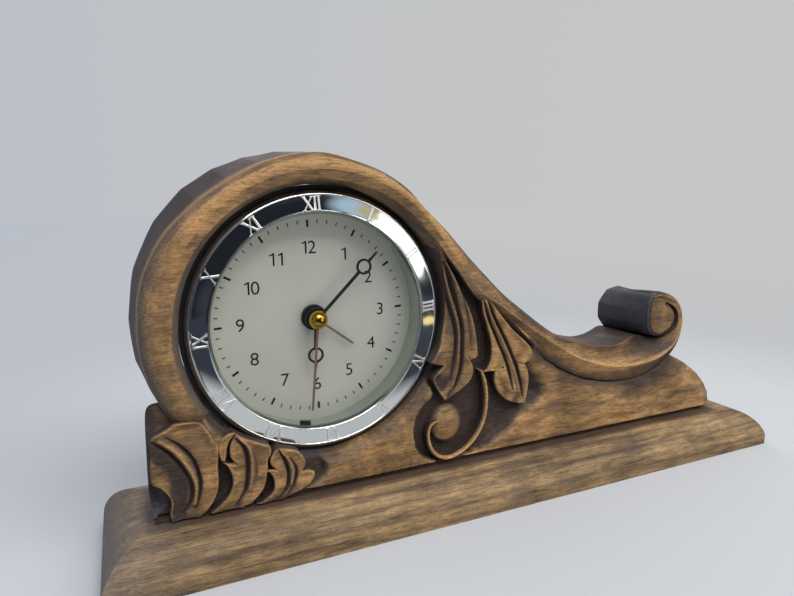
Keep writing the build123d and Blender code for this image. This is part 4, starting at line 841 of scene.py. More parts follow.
# the border runs once along each edge that belongs to one face only
edges = np.concatenate([np.stack([face, np.roll(face, -1, 1)], -1).reshape(-1, 2)
                        for face in (whole, corners)])
key = edges.min(1) * len(spots) + edges.max(1)
first, times = np.unique(key, return_index=True, return_counts=True)[1:]
border = edges[first[times == 1]]
total = len(spots)
walls = np.stack([border[:, 1], border[:, 0], border[:, 0] + total, border[:, 1] + total], 1)
board_faces = [whole, corners, whole[:, ::-1] + total, corners[:, ::-1] + total, walls]
print("board", total, "spots,", len(border), "on the border")

# %% [markdown]
# ## The board
# The front gets its depth, the back is flat, and the block at the left falls away behind.
# Stain and painted shade lie in the pockets, round the hole, under the ribbon, along the joint
# below, on the block's left edge and on its sunken upper face; round the hole there is less on
# the open lower right side. The cove at the left foot is cut across the grain and painted dark
# and grey: soaked end grain and painted cool shade.

# %% Board
depth, pocket = board_depth(spots)
depth = np.clip(depth, FACE + 0.02, BACK - 1)
front_points = np.stack([spots[:, 0], depth, spots[:, 1]], 1)
back_points = np.stack([spots[:, 0], np.full(total, BACK), spots[:, 1]], 1)
block = ease((-56 - spots[:, 0]) / 6) * (spots[:, 1] < 66.3)
back_points[:, 0] += 2.4 * block
back_points[:, 2] -= 11 * block * ease((spots[:, 1] - 24) / 42)
across, up = spots.T
cove_middle = ease(inside_distance(spots, left_cove) / 2.5)
radius = np.hypot(across, up - AXIS)
under = line_distance(spots, ribbon_edge) / (1 + 2 * ease((across - 140) / 30))
# stain and painted shade in the pockets, the deeper the darker; in the cove the grey of soaked
# end grain and of painted cool shade
shade = np.where(cove_middle > 0, 0.95 + 0.35 * cove_middle, ease(pocket / 2.6) * 0.95)
# painted shade round the hole, less on the lit open side, in the undercut at the foot, under the
# ribbon, on the block's left edge and on its sunken upper face
for more in ((1 - ease((radius - 54.9) / 3.0)) * 0.95 * (1 - 0.85 * open_side(spots)),
             ease((21.0 - up) / 1.0),
             0.85 * np.exp(-(under / 4.5) ** 2) * ease((across - 92) / 10),
             0.85 * ease((-62.0 - across) / 3) * ease((up - 32) / 4),
             0.75 * ease((up - 49) / 5) * ease((-45 - across) / 6)):
    shade = np.maximum(shade, more)
shade = np.concatenate([shade, np.full(total, 0.45)])
board = add_piece("carved_board", np.concatenate([front_points, back_points]), board_faces,
                  "clock", carved_wood, {"shade": shade, "wear_and_highlight": shade * 0}, 45)
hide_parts("carved_body")

# %% [markdown]
# ## How a leaf is cut
# Each leaf stands as high as the ring, with a thin rounded rim, walls cut straight down and
# fine vein grooves. It is a strip between its left and right edge, which keeps the rows of
# points running with the veins, and a groove is a soft dip by the distance to its line.

# %% Leaf helper


def leaf(name, left_runs, right_runs, counts, grooves, top=0.4, rim=0.8, hollow=0.5, columns=84,
         lean=0.0, ridges=(), stains_and_shades=(), worn_face=0.0, face_stain_and_shade=0.0):
    """Strip between two edges. Depth is the top, plus a quarter circle down at the rim, plus
    for each vein its depth times the bell of the distance to its line. A ridge does the same
    upwards and turns lighter, wear with a painted highlight, each of stains_and_shades dips a
    little and is painted darker, staining with painted shade, and lean lowers the left edge.
    worn_face and face_stain_and_shade add to the marks over the whole face, in soft blotches
    about 6 mm across. Grooves, ridges and stains_and_shades are each a line, an amount and a
    width."""
    left, right = run_curve(left_runs, counts), run_curve(right_runs, counts)
    share = (1 - np.cos(np.linspace(0, math.pi, columns))) / 2
    flat = left[:, None] * (1 - share)[:, None] + right[:, None] * share[:, None]
    spots = flat.reshape(-1, 2)
    across, up = spots.T
    edge = np.minimum(line_distance(spots, left), line_distance(spots, right))
    near = np.clip(1 - edge / rim, 0, 1)
    drop = rim * (1 - np.sqrt(1 - near ** 2))
    depth = FACE + top + drop + hollow * ease(edge / 3.5)
    depth = depth + lean * ease(1 - line_distance(spots, left) / 5) * ease((up - 66) / 14)
    cut, lift, dark = np.zeros((3, len(spots)))
    for line_points, deep, wide in grooves:
        vein = smooth_curve(line_points, 60)
        away = line_distance(spots, vein)
        ends = np.minimum(*[np.linalg.norm(spots - vein[k], axis=1) for k in (0, -1)])
        ends = ease(ends / 9)
        bell = np.exp(-(away / (wide * (0.6 + 0.4 * ends))) ** 2)
        cut = np.maximum(cut, deep * (0.35 + 0.65 * ends) * bell)
        dark = np.maximum(dark, 0.3 * deep * np.exp(-(away / 1.6) ** 2))
    for line_points, high, wide in ridges:
        away = line_distance(spots, smooth_curve(line_points, 60))
        lift = np.maximum(lift, high * np.exp(-(away / wide) ** 2))
    for line_points, amount, wide in stains_and_shades:
        away = line_distance(spots, smooth_curve(line_points, 60))
        dark = np.maximum(dark, amount * np.exp(-(away / wide) ** 4))
        depth = depth + 0.8 * amount * np.exp(-(away / wide) ** 4)
    depth = depth + cut - np.minimum(lift, hollow + top)
    front = np.stack([across, depth, up], 1).reshape(*flat.shape[:2], 3)
    # the leaf is darker towards the bottom, where it meets the board's foot
    foot = ease((24 - up) / 5)
    blotch = 0.5 + 0.5 * np.sin(across * 0.75 + 1.9 * np.sin(up * 0.33 + 1.0))
    dark = dark + face_stain_and_shade * (0.6 + 0.4 * blotch)
    # grooves and stains_and_shades are darker: stain and painted shade
    shade = np.clip(cut / 0.9 + dark + 0.6 * foot, 0, 1).reshape(flat.shape[:2])
    uneven = 0.65 + 0.35 * np.sin(across * 0.9 + 1.7 * np.sin(up * 0.45))
    # a light line along the rim and on the ridges: wear and painted highlight
    wear_and_highlight = np.exp(-((edge - rim * 0.6) / 0.3) ** 2) * 0.6 * uneven
    wear_and_highlight = np.maximum(wear_and_highlight + np.clip(lift / 0.6, 0, 1) * 0.55, worn_face * blotch)
    lit_and_worn_reach = (1 - foot) * np.clip(1 - cut / 0.4, 0, 1) * ease((across + 66.5) / 6)
    wear_and_highlight = (wear_and_highlight * lit_and_worn_reach).reshape(flat.shape[:2])
    points, faces, marks = shell(front, {"shade": shade, "wear_and_highlight": wear_and_highlight})
    piece = add_piece(name, points, faces, "clock", carved_wood, marks, 40)
    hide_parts("carved_body")


print("leaf helper ready")

# %% [markdown]
# ## The two leaves at the right of the dial
# They hang from the ribbon, and their lower lobes curl round the C-scroll. The first lies in
# the ring's shadow and is painted darker, stain and painted shade, the second was rubbed
# brighter.

# %% Right leaves
leaf("leaf_one",
     [[(49.4, 118.4), (50.9, 113.0), (52.2, 108), (53.0, 102.2), (53.4, 95.4), (53.4, 87.3),
       (52.6, 80.4), (50.2, 72.3), (45.9, 66.1)],
      [(45.9, 66.1), (48.6, 65.0), (51.7, 64.3)],
      [(51.7, 64.3), (48.4, 61.2), (46.7, 58.6), (47.9, 55.6), (50, 52), (52.1, 48.9)]],
     [[(49.8, 118.4), (51.9, 113.6), (55.7, 104.9), (59.6, 96.9), (63.6, 89), (66.1, 82.4),
       (67.8, 74.4), (68.7, 66.4)],
      [(68.7, 66.4), (66.3, 65.6), (63.5, 66.7)],
      [(63.5, 66.7), (65.5, 63.9), (66.4, 60.2), (64.8, 56.1), (60, 52.4), (52.2, 48.7)]],
     (110, 14, 50),
     [([(51.5, 108), (52.3, 102.9), (53.6, 95.4), (55.4, 88.3), (57, 81.2), (57.5, 74.2),
        (56.7, 65.8), (54.8, 57.5)], 1.5, 0.55),
      ([(52.6, 109), (54.2, 104.1), (56.5, 95.1), (58.9, 86.6), (60.5, 79.5), (60.6, 71),
        (59.9, 62.5), (57.6, 55.6), (53.7, 50.4)], 1.7, 0.7),
      ([(56, 106), (60.5, 95), (63.4, 84), (64.8, 75), (65, 69)], 0.4, 0.7)],
     lean=2.6,
     ridges=[([(52.6, 104), (55.3, 94), (57.4, 86), (58.9, 79), (59.1, 70), (58.3, 62),
               (55.5, 53)], 0.6, 0.5)],
     stains_and_shades=[([(48.8, 58.6), (50.8, 54.5), (53.0, 57.5)], 0.7, 2.2)], face_stain_and_shade=0.22)
leaf("leaf_two",
     [[(70.4, 94.6), (70.8, 86.9), (73, 79.6), (75.2, 72.2), (75.3, 64.9), (73.6, 60.4),
       (71.3, 58.8)],
      [(71.3, 58.8), (74.4, 58.9), (77.5, 59.8)],
      [(77.5, 59.8), (77.6, 52.8), (81.6, 46.2), (87.7, 42.2), (93.9, 40.8)]],
     [[(71.4, 94.6), (73.4, 92.4), (79.6, 84.6), (86.5, 76.7), (93.4, 70.6), (97.3, 66),
       (97.2, 62.1), (93.3, 59.6)],
      [(93.3, 59.6), (91.5, 59.8), (89.8, 60.8)],
      [(89.8, 60.8), (93.6, 59.6), (95.4, 56), (95.9, 50.1), (94.2, 40.6)]],
     (100, 14, 50),
     [([(70.9, 91.8), (74.1, 82.3), (78.4, 73.2), (82.9, 63.9), (85.6, 56.1), (87.6, 48.3)],
       1.5, 0.55),
      ([(73.2, 90.9), (77.4, 82), (82.6, 72.8), (87.2, 63.4), (90.9, 53.9), (92.9, 44.4)],
       1.5, 0.55)],
     ridges=[([(72.5, 90), (75.8, 82), (80.5, 73), (85, 63.6), (88.4, 55), (90.4, 47)],
              0.6, 0.5)],
     stains_and_shades=[([(80.5, 50), (84.5, 46), (90, 43.5)], 0.7, 2.6)], worn_face=0.6)
print("right leaves ready")

# %% [markdown]
# ## The leaves at the left foot
# Three lobes, a, b and c, overlap towards the middle, and a small hook curls over the second.
# They go down into the board's foot and are darker towards the bottom.

# %% Left leaves
leaf("leaf_a",
     [[(-64.9, 53.3), (-66.1, 51.9), (-66.5, 49.1), (-66.6, 46.1), (-66.8, 40.2), (-66.6, 35.6),
       (-63.6, 33), (-61.3, 29.4), (-60.7, 26.3), (-61.4, 22.5), (-61.0, 19.6)]],
     [[(-64.7, 53.5), (-60.4, 55.3), (-57.7, 56.8), (-53.5, 57), (-48.8, 55.9), (-46.3, 52.8),
       (-44.4, 48.5), (-43, 46.4), (-42.9, 43.3), (-43.5, 38), (-43.5, 33.1), (-44.1, 28.2),
       (-46, 24.3), (-48.4, 21.2), (-50.6, 19.6)]],
     (150,),
     [([(-60.7, 52.1), (-56.3, 48.1), (-52.4, 42.6), (-50.6, 36.8), (-50.1, 31.8),
        (-51.3, 25.9), (-52.3, 23.1)], 1.5, 0.5),
      ([(-65.9, 51.1), (-61.5, 47.3), (-57.7, 42.4), (-54.4, 36.4), (-53.1, 31.3), (-54, 26),
        (-57, 21.7)], 1.6, 0.55),
      ([(-64.9, 43.1), (-62.5, 41.3)], 1.2, 0.5)],
     hollow=0.8,
     ridges=[([(-63.2, 50.8), (-59, 47.2), (-55.6, 42.2), (-52.7, 36), (-51.7, 30.5),
               (-52.6, 25)], 0.9, 0.8)],
     stains_and_shades=[([(-65.5, 48.5), (-62.0, 44.5), (-58.8, 39.5), (-57.2, 34), (-57.6, 28),
               (-59, 23)], 0.95, 3.6)])
leaf("leaf_b",
     [[(-36.4, 49.3), (-38.6, 45.5), (-38.8, 40.7), (-36.8, 37.4)],
      [(-36.8, 37.4), (-38.4, 37.8), (-41.7, 39.1)],
      [(-41.7, 39.1), (-40.2, 37.3), (-38.7, 33.3), (-38.6, 29.5), (-40.3, 25.5), (-43.9, 22),
       (-47.2, 19.9)]],
     [[(-36.3, 49.3), (-32.3, 46.5), (-27.2, 44), (-23.7, 42.1), (-23.6, 38.9), (-24.7, 37.2)],
      [(-24.7, 37.2), (-24.9, 36.7), (-25, 35.6)],
      [(-25, 35.6), (-25.1, 32.9), (-26.9, 25.7), (-31.3, 20.9), (-34.6, 19.6)]],
     (60, 16, 70),
     [([(-36.5, 47.6), (-33.8, 44), (-32.6, 39.5), (-32.7, 33.2), (-33.9, 26.6), (-37.1, 21.6)],
       1.5, 0.6),
      ([(-30.4, 41), (-29.4, 36), (-30, 30), (-32, 24)], 0.5, 0.5)],
     ridges=[([(-35, 47.2), (-32.3, 43.6), (-31.2, 39.2), (-31.3, 33), (-32.6, 26.4)],
              0.9, 0.6)])
leaf("leaf_b_hook",
     [[(-37.0, 49.8), (-39.5, 49.5), (-41.8, 47.9), (-42.9, 45.6), (-42.9, 42.4),
       (-42.3, 39.8)]],
     [[(-36.4, 49.2), (-38.3, 47.3), (-39.6, 44.6), (-40.1, 41.8), (-40.6, 39.4)]],
     (50,), [], top=1.0, columns=20)
leaf("leaf_c",
     [[(-20.5, 40.6), (-22.5, 39.5), (-24.1, 36.5), (-23.6, 34), (-21.6, 31.9)],
      [(-21.6, 31.9), (-23, 32.3), (-26, 32.5)],
      [(-26, 32.5), (-24.2, 31), (-22.9, 27.3), (-23.7, 23), (-27.8, 20.1), (-30, 19.5)]],
     [[(-20.4, 40.6), (-16.1, 39.4), (-12.5, 37.7), (-10.4, 34.4), (-10.2, 32.1),
       (-11.5, 29.5)],
      [(-11.5, 29.5), (-9.4, 29.5), (-6.6, 28.4)],
      [(-6.6, 28.4), (-6.6, 26.5), (-8.6, 23.6), (-13.1, 21.3), (-19, 19.6)]],
     (60, 16, 50),
     [([(-20.6, 39.9), (-18.4, 35.4), (-17.1, 30), (-17.6, 24.9), (-19.9, 21.5), (-22, 20)],
       1.5, 0.5),
      ([(-16.2, 35.6), (-14.2, 32), (-14.1, 28.1), (-15.5, 23.8), (-18.4, 20.4)], 1.2, 0.45)],
     ridges=[([(-19.6, 39), (-16.8, 35), (-15.7, 30), (-16.4, 25)], 0.8, 0.5)])
print("left leaves ready")

# %% [markdown]
# ## The C-scroll
# A thin rib curls from the tip of the second leaf round a small button. The rib is a rounded
# strip along its middle line, swelling and thinning as the gouge did. The button is a low dome
# with the faint spiral that is left when it is turned under the tool.

# %% Curl
curl_line = smooth_curve([(70.6, 59.6), (72.6, 54.2), (73.6, 46.6), (72.5, 37.1), (68.4, 29.5),
                          (62.7, 24.5), (55.4, 21.9), (49.9, 23.2), (45.9, 27.7), (44.4, 33.8),
                          (45.6, 38.3), (48.9, 39.9)], 170)
along = np.gradient(curl_line, axis=0)
across = np.stack([along[:, 1], -along[:, 0]], 1) / np.linalg.norm(along, axis=1, keepdims=True)
swell = np.interp(np.linspace(0, 1, 170), [0, 0.06, 0.5, 0.8, 1], [0.5, 0.95, 0.95, 0.9, 0.45])
share = np.linspace(-1, 1, 15)
flat = curl_line[:, None] + across[:, None] * (share[:, None] * swell[:, None, None])
depth = FACE + 0.5 + swell[:, None] * (1 - np.sqrt(1 - share ** 2)) * 1.2
front = np.stack([flat[..., 0], depth, flat[..., 1]], -1)
# a lighter line along the rib's crest: wear and painted highlight
points, faces, marks = shell(front, {
    "shade": np.full(depth.shape, 0.1),
    "wear_and_highlight": np.broadcast_to(np.exp(-(share / 0.8) ** 2), depth.shape)})
curl = add_piece("curl_rib", points, faces, "clock", carved_wood, marks, 60)
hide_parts("carved_body")

BUTTON_ACROSS, BUTTON_UP, BUTTON_RADIUS = 54.1, 37.6, 7.7
angle = np.linspace(0, 2 * math.pi, 72, endpoint=False)[:, None]
size = np.linspace(0, 1, 20)[None, 1:]
dome = FACE + 0.9 + 3.4 * (1 - np.sqrt(1 - (size * 0.97) ** 2))
dome = dome + 0.22 * np.sin(angle * 2 + size * 8) * ease(size * 2.5)
front = np.stack([BUTTON_ACROSS + BUTTON_RADIUS * size * np.cos(angle), dome,
                  BUTTON_UP + BUTTON_RADIUS * size * 1.1 * np.sin(angle)], -1)
wall = front[:, -1:].copy()
wall[..., 1] = CARVING_FOOT
points, faces = capped(np.concatenate([front, wall], 1),
                       (BUTTON_ACROSS, FACE + 0.9, BUTTON_UP))
# darker towards the button's edge and on its wall: stain and painted shade where it meets the
# pocket
shade = np.concatenate([ease((size - 0.75) * 4) * 0.6 + 0 * angle, angle * 0 + 1], 1)
marks = {"shade": np.append(shade.ravel(), 0), "wear_and_highlight": np.zeros(len(points))}
button = add_piece("curl_button", points, faces, "clock", carved_wood, marks, 50)
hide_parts("carved_body")

# %% [markdown]
# ## The scroll's core
# The moulding ends rolled round a short bar that runs through the whole board. Its sides were
# cut with a chisel, so it is a rounded outline in front that turns into a circle with nine
# faint flats behind, under a low domed face. The bar is all end grain and takes the stain grey;
# its sides and the edge of its face are also painted dark and grey as painted shade in the gap
# round it.

# %% Scroll core
core_outline = smooth_curve([
    (179, 80.6), (183.2, 78.6), (186.4, 75.2), (187.2, 71.4), (184.6, 67.0), (181, 64.6),
    (176.5, 63.5), (171.6, 65.0), (169.0, 68.6), (168.2, 73.4), (168.3, 79), (169.4, 84.6),
    (172.2, 86.0), (176.5, 85.2), (179.2, 83.2), (179, 80.6)], 161)[:-1]
middle = np.array([177.6, 73.0])
face_share = np.array([0.2, 0.4, 0.6, 0.8, 0.92, 1.0])
face_y = FACE + 0.6 + np.array([0.05, 0.15, 0.35, 0.6, 0.9, 1.6])
rings = middle + (core_outline - middle)[:, None] * face_share[:, None]
front = np.stack([rings[..., 0], np.broadcast_to(face_y, rings.shape[:2]), rings[..., 1]], -1)
body_share = np.linspace(0, 1, 12)[1:, None]
turn = np.arctan2(core_outline[:, 1] - middle[1], core_outline[:, 0] - middle[0])
back_radius = 12.3 - 0.5 * np.abs(np.sin(turn * 4.5))
back_outline = SCROLL_MIDDLE + np.stack([np.cos(turn), np.sin(turn)], 1) * back_radius[:, None]
tube = core_outline[:, None] * (1 - body_share) + back_outline[:, None] * body_share
tube_y = face_y[-1] + (BACK - face_y[-1]) * body_share[:, 0]
sides = np.stack([tube[..., 0], np.broadcast_to(tube_y, tube.shape[:2]), tube[..., 1]], -1)
points, faces = capped(np.concatenate([front, sides], 1), (middle[0], FACE + 0.6, middle[1]))
# the sides and the edge of the face are dark and grey: end grain stain and painted shade in the
# gap round the core; the middle of the face is lighter
shade = np.full((len(front), front.shape[1] + sides.shape[1]), 1.18)
shade[:, :4] = 0.3
marks = {"shade": np.append(shade.ravel(), 0.1), "wear_and_highlight": np.zeros(len(points))}
core = add_piece("scroll_core", points, faces, "clock", carved_wood, marks, 30)
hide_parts("carved_body")

# %% [markdown]
# ## The bezel
# The bezel is one spun and plated ring: a small bead at the crystal, a band that slopes away
# outwards, and a bright rim that rolls over to the side. A profile turned round the dial's axis
# gives exactly that. The slope makes the band mirror the table below and the room on both
# sides, which is where its look comes from.

# %% Bezel
RIM_Y = bezel_low.y / MM
band_share = np.linspace(0, 1, 14)
band_radius = 43.8 + 5.75 * band_share
band_depth = 0.10 + 0.45 * band_share + 0.17 * band_share ** 2


def turned(profile, steps):
    """Turns a closed profile of radius and depth round the dial's axis: across is the radius
    times the cosine, up is the radius times the sine."""
    angle = np.linspace(0, 2 * math.pi, steps, endpoint=False)[:, None]
    radius, depth = np.asarray(profile, float).T
    points = np.stack([radius * np.cos(angle), depth + 0 * angle,
                       AXIS + radius * np.sin(angle)], -1)
    rows, columns = points.shape[:2]
    return points.reshape(-1, 3), [grid_faces(rows, columns, True, True)]


# the wall down to the crystal and the bead, the band, then the rim and the hidden inside
profile = np.concatenate([
    [[43.2, 1.14], [43.2, 0.2], [43.3, 0.05], [43.5, 0.0], [43.7, 0.05]],
    np.stack([band_radius, band_depth], 1),
    [[49.62, 0.72], [49.74, 0.54], [49.88, 0.47], [50.1, 0.54], [50.4, 0.72], [50.7, 0.94],
     [51.0, 1.2], [51.3, 1.52], [51.55, 1.9], [51.75, 2.35], [51.88, 2.85], [51.95, 3.35],
     [50.8, 3.35], [50.8, 1.5], [50.0, 1.14]]])
profile[:, 1] += RIM_Y
points, faces = turned(profile, 360)
bezel = add_piece("bezel_ring", points, faces, "clock", chrome, angle=50)
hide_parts("bezel")
# a small black catch holds the reflector ring at the bottom, in line with its curve
catch = np.array([[-10.1, 0, 45.9], [-5.8, 0, 45.9], [-5.8, 0, 47.6], [-10.1, 0, 47.6]])
catch[:, 2] -= (catch[:, 0] + 8) * 0.19
add_piece("reflector_catch", np.concatenate([catch + (0, -11.3, 0), catch + (0, -10.2, 0)]),
          [block_faces(1)], "clock", case_black, angle=30)

# %% [markdown]
# ## Numerals on the bezel
# Raised Roman numerals stand on the chrome band, their feet towards the dial's centre. Each is
# a few straight strokes with thin serifs, so every stroke is a small block. Its top is narrow
# and its foot wide, because the two sloping sides catch the light as on a cast numeral.

# %% Roman numerals
BAND_RADIUS = 46.5
NUMERAL_HEIGHT = 5.2
NUMERALS = ["XII", "I", "II", "III", "IV", "V", "VI", "VII", "VIII", "IX", "X", "XI"]
THICK, THIN, SERIF, SERIF_REACH = 1.0, 0.6, 0.32, 0.75


def strokes_of(word):
    """Start, end and width of each stroke of a numeral, set round its middle, in millimetres."""
    half = NUMERAL_HEIGHT / 2
    widths = {"I": 1.6, "V": 3.8, "X": 3.8}
    left = -sum(widths[letter] for letter in word) / 2
    strokes = []
    for letter in word:
        x0, x1 = left + 0.3, left + widths[letter] - 0.3
        middle = (x0 + x1) / 2
        if letter == "I":
            strokes += [(middle, -half, middle, half, THICK)]
            feet = [(middle, -half), (middle, half)]
        elif letter == "V":
            strokes += [(x0, half, middle, -half, THICK), (x1, half, middle, -half, THIN)]
            feet = [(x0, half), (x1, half)]
        else:
            strokes += [(x0, half, x1, -half, THICK), (x1, half, x0, -half, THIN)]
            feet = [(x0, half), (x1, half), (x0, -half), (x1, -half)]
        strokes += [(x - SERIF_REACH, y, x + SERIF_REACH, y, SERIF) for x, y in feet]
        left += widths[letter]
    return np.array(strokes)


blocks = []
for hour, word in enumerate(NUMERALS):
    strokes = strokes_of(word)
    start, end, width = strokes[:, :2], strokes[:, 2:4], strokes[:, 4:] / 2
    along = (end - start) / np.linalg.norm(end - start, axis=1, keepdims=True)
    side = np.stack([-along[:, 1], along[:, 0]], 1) * width
    turn = math.radians(hour * 30 - 3.2)
    layers = []
    for spread, proud in ((0.5, 0.38), (1.15, -0.25)):
        flat = np.stack([start - side * spread, end - side * spread, end + side * spread,
                         start + side * spread], 1)
        radial = BAND_RADIUS + flat[..., 1]
        x = flat[..., 0] * math.cos(turn) + radial * math.sin(turn)
        z = -flat[..., 0] * math.sin(turn) + radial * math.cos(turn) + AXIS
        surface = RIM_Y + np.interp(radial, band_radius, band_depth)
        layers.append(np.stack([x, surface - proud, z], -1))
    blocks.append(np.concatenate(layers, 1))
blocks = np.concatenate(blocks)
add_piece("bezel_numerals", blocks.reshape(-1, 3), [block_faces(len(blocks))], "clock",
          chrome_satin, angle=30)

# %% [markdown]
# ## The marks on the dial
# Sixty marks are printed black round the dial, those of the hours longer and wider. A picture
# on the dial would do for print, but thin blocks of ink stay sharp at any distance.

# %% Dial marks
dial_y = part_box("dial")[0].y / MM
minutes = np.arange(60)
hours = (minutes % 5 == 0)[:, None]
turn = np.radians(minutes * 6 - 1.68)[:, None]
# radii of the two ends, and half the width, first for the hours and then for the minutes
inner_end, outer_end = np.where(hours, 36.73, 38.24), np.where(hours, 39.74, 39.75)
side = np.where(hours, 0.45, 0.22) * np.array([-1, 1, 1, -1])
radial = np.concatenate([inner_end, inner_end, outer_end, outer_end], 1)
x = side * np.cos(turn) + radial * np.sin(turn)
z = -side * np.sin(turn) + radial * np.cos(turn) + AXIS
top = np.stack([x, np.full_like(x, dial_y - 0.06), z], -1)
add_piece("dial_marks", np.concatenate([top, top + (0, 0.1, 0)], 1).reshape(-1, 3),
          [block_faces(60)], "clock", dial_ink, angle=30)

# %% [markdown]
# ## The numbers on the dial
# Upright hour numbers are printed inside the marks. They are text made into a mesh. The
# typeface draws a 1 as a bare stroke, so each 1 gets its flag, and room for it.

# %% Dial numbers
NUMBER_RADIUS, NUMBER_WIDTH, SECOND_ONE = 28.7, 1.02, 0.8
# some numbers stand a little beside their place, in millimetres
shifts = {1: 0.3, 3: 1.0, 7: 0.9, 8: -0.3, 9: -1.0, 10: 0.9, 11: 0.4}
number_points, number_faces, filled, flags = [], [], 0, []
for hour in range(1, 13):
    letters = bpy.data.curves.new(f"number_{hour}", "FONT")
    letters.body = str(hour)
    letters.size, letters.offset, letters.extrude = 7.5, -0.015, 0.04
    letters.align_x, letters.align_y = "CENTER", "CENTER"
    holder = bpy.data.objects.new(f"number_{hour}", letters)
    shape = bpy.data.meshes.new_from_object(holder)
    flat = np.empty(len(shape.vertices) * 3, np.float32)
    shape.vertices.foreach_get("co", flat)
    flat = flat.reshape(-1, 3).astype(float)
    flat[:, :2] -= (flat[:, :2].max(0) + flat[:, :2].min(0)) / 2
    turn = math.radians(hour * 30 - 1.6)
    middle = np.array([NUMBER_RADIUS * math.sin(turn) + shifts.get(hour, 0), dial_y - 0.02,
                       NUMBER_RADIUS * math.cos(turn) + AXIS])
    if hour in (1, 10, 11, 12):
        low, high = flat[:, 0].min(), flat[:, 0].max()
        bar, room = (high - low, 0.6) if hour == 1 else (bar, 1.2)
        first, last = flat[:, 0] < low + bar + 0.05, flat[:, 0] > high - bar - 0.05
        flat[first, 0] += room
        starts = [low + room]
        if hour == 11:
            flat[last, 0] += SECOND_ONE
            starts.append(high - bar + SECOND_ONE)
        for start in starts:
            flag_x = np.array([start - 1.25, start + 0.3, start + 0.3, start - 1.25])
            flag_up = flat[:, 1].max() - np.array([1.3, 0.72, 0.0, 0.72])
            flags += [middle + np.stack([flag_x * NUMBER_WIDTH, np.full(4, y), flag_up], 1)
                      for y in (-0.03, 0.05)]
    number_points.append(middle + np.stack([flat[:, 0] * NUMBER_WIDTH, -flat[:, 2],
                                            flat[:, 1]], 1))
    number_faces += [np.array(face.vertices) + filled for face in shape.polygons]
    filled += len(flat)
    bpy.data.objects.remove(holder)
    bpy.data.curves.remove(letters)
    bpy.data.meshes.remove(shape)
add_piece("dial_numbers", np.concatenate(number_points), number_faces, "clock",
          dial_ink, angle=30)
add_piece("dial_number_flags", np.concatenate(flags), [block_faces(len(flags) // 2)], "clock",
          dial_ink, angle=30)

# %% [markdown]
# ## The floor
# The clock stands on a plain pale sheet, which takes its soft shadow. Farther off the camera
# sees an even backdrop tone instead, so no horizon shows. A bezel that mirrors only white would
# look like white paint. So for mirrored rays the floor turns dark from its front right edge
# on, with one warm patch, and ends 0.6 m out.

# %% Floor
FLOOR_HALF = 3.0
floor_mesh = bpy.data.meshes.new("floor")
floor_mesh.from_pydata([(x * FLOOR_HALF, y * FLOOR_HALF, 0.0)
                        for x, y in ((-1, -1), (1, -1), (1, 1), (-1, 1))], [], [[0, 1, 2, 3]])
floor = bpy.data.objects.new("floor", floor_mesh)
bpy.context.scene.collection.objects.link(floor)
floor_paper, tree, place = start_material("pale grey paper")
mottle = add(tree, "TexNoise", {"Vector": place, "Scale": 3, "Detail": 2})
paper = add(tree, "Mix", {0: mottle, 6: linear("#B3B5B6"), 7: linear("#ACAFB1")}, 2, **BLEND)
distance = add(tree, "VectorMath", {0: place}, "Value", operation="LENGTH")
rays = add(tree, "LightPath", out=None).outputs
towards = add(tree, "VectorMath", {0: place, 1: (0.45, -1.0, 0.0)}, "Value",
              operation="DOT_PRODUCT")
beyond_edge = add(tree, "MapRange", {"Value": towards, "From Min": 0.095, "From Max": 0.145})
warm_gap = add(tree, "VectorMath", {0: place, 1: (0.198, -0.288, 0.0)}, "Value",
               operation="DISTANCE")
warm = add(tree, "MapRange", {"Value": warm_gap, "From Min": 0.035, "From Max": 0.024})
dark = add(tree, "Mix", {0: warm, 6: linear("#222732"), 7: linear("#D6BE7C")}, 2, **BLEND)
mirrored = add(tree, "Math", {0: beyond_edge, 1: rays["Is Glossy Ray"]}, operation="MULTIPLY")
paper = add(tree, "Mix", {0: mirrored, 6: paper, 7: dark}, 2, **BLEND)
paper = add(tree, "BsdfPrincipled", {"Base Color": paper, "Roughness": 0.85,
                                     "Specular IOR Level": 0.1})
across_room = add(tree, "MapRange", {"Value": add(tree, "SeparateXYZ", {0: place}),
                                     "From Min": -0.9, "From Max": 0.9})
far_tone = add(tree, "Mix", {0: across_room, 6: linear("#B6BDC9"), 7: linear("#C6C6C5")}, 2,
               **BLEND)
far = add(tree, "MapRange", {"Value": distance, "From Min": 0.25, "From Max": 0.42})
far = add(tree, "Math", {0: far, 1: rays["Is Camera Ray"]}, operation="MULTIPLY")
seen = add(tree, "MixShader", {0: far, 1: paper, 2: add(tree, "Emission", {"Color": far_tone})})
ended = add(tree, "Math", {0: distance, 1: 0.6}, operation="GREATER_THAN")
ended = add(tree, "Math", {0: ended, 1: rays["Is Glossy Ray"]}, operation="MULTIPLY")
sheet = add(tree, "MixShader", {0: ended, 1: seen, 2: add(tree, "BsdfTransparent")})
add(tree, "OutputMaterial", {"Surface": sheet}, None)
floor.data.materials.append(floor_paper)
print("floor ready")

# %% [markdown]
# ## The room
# The world lights the object softly from all round: pale to the sides and above, cooler on the
# left, dark behind the camera. The chrome mirrors it, so a few bright areas are added by
# direction, the largest low on the right. The camera itself sees only the even backdrop.

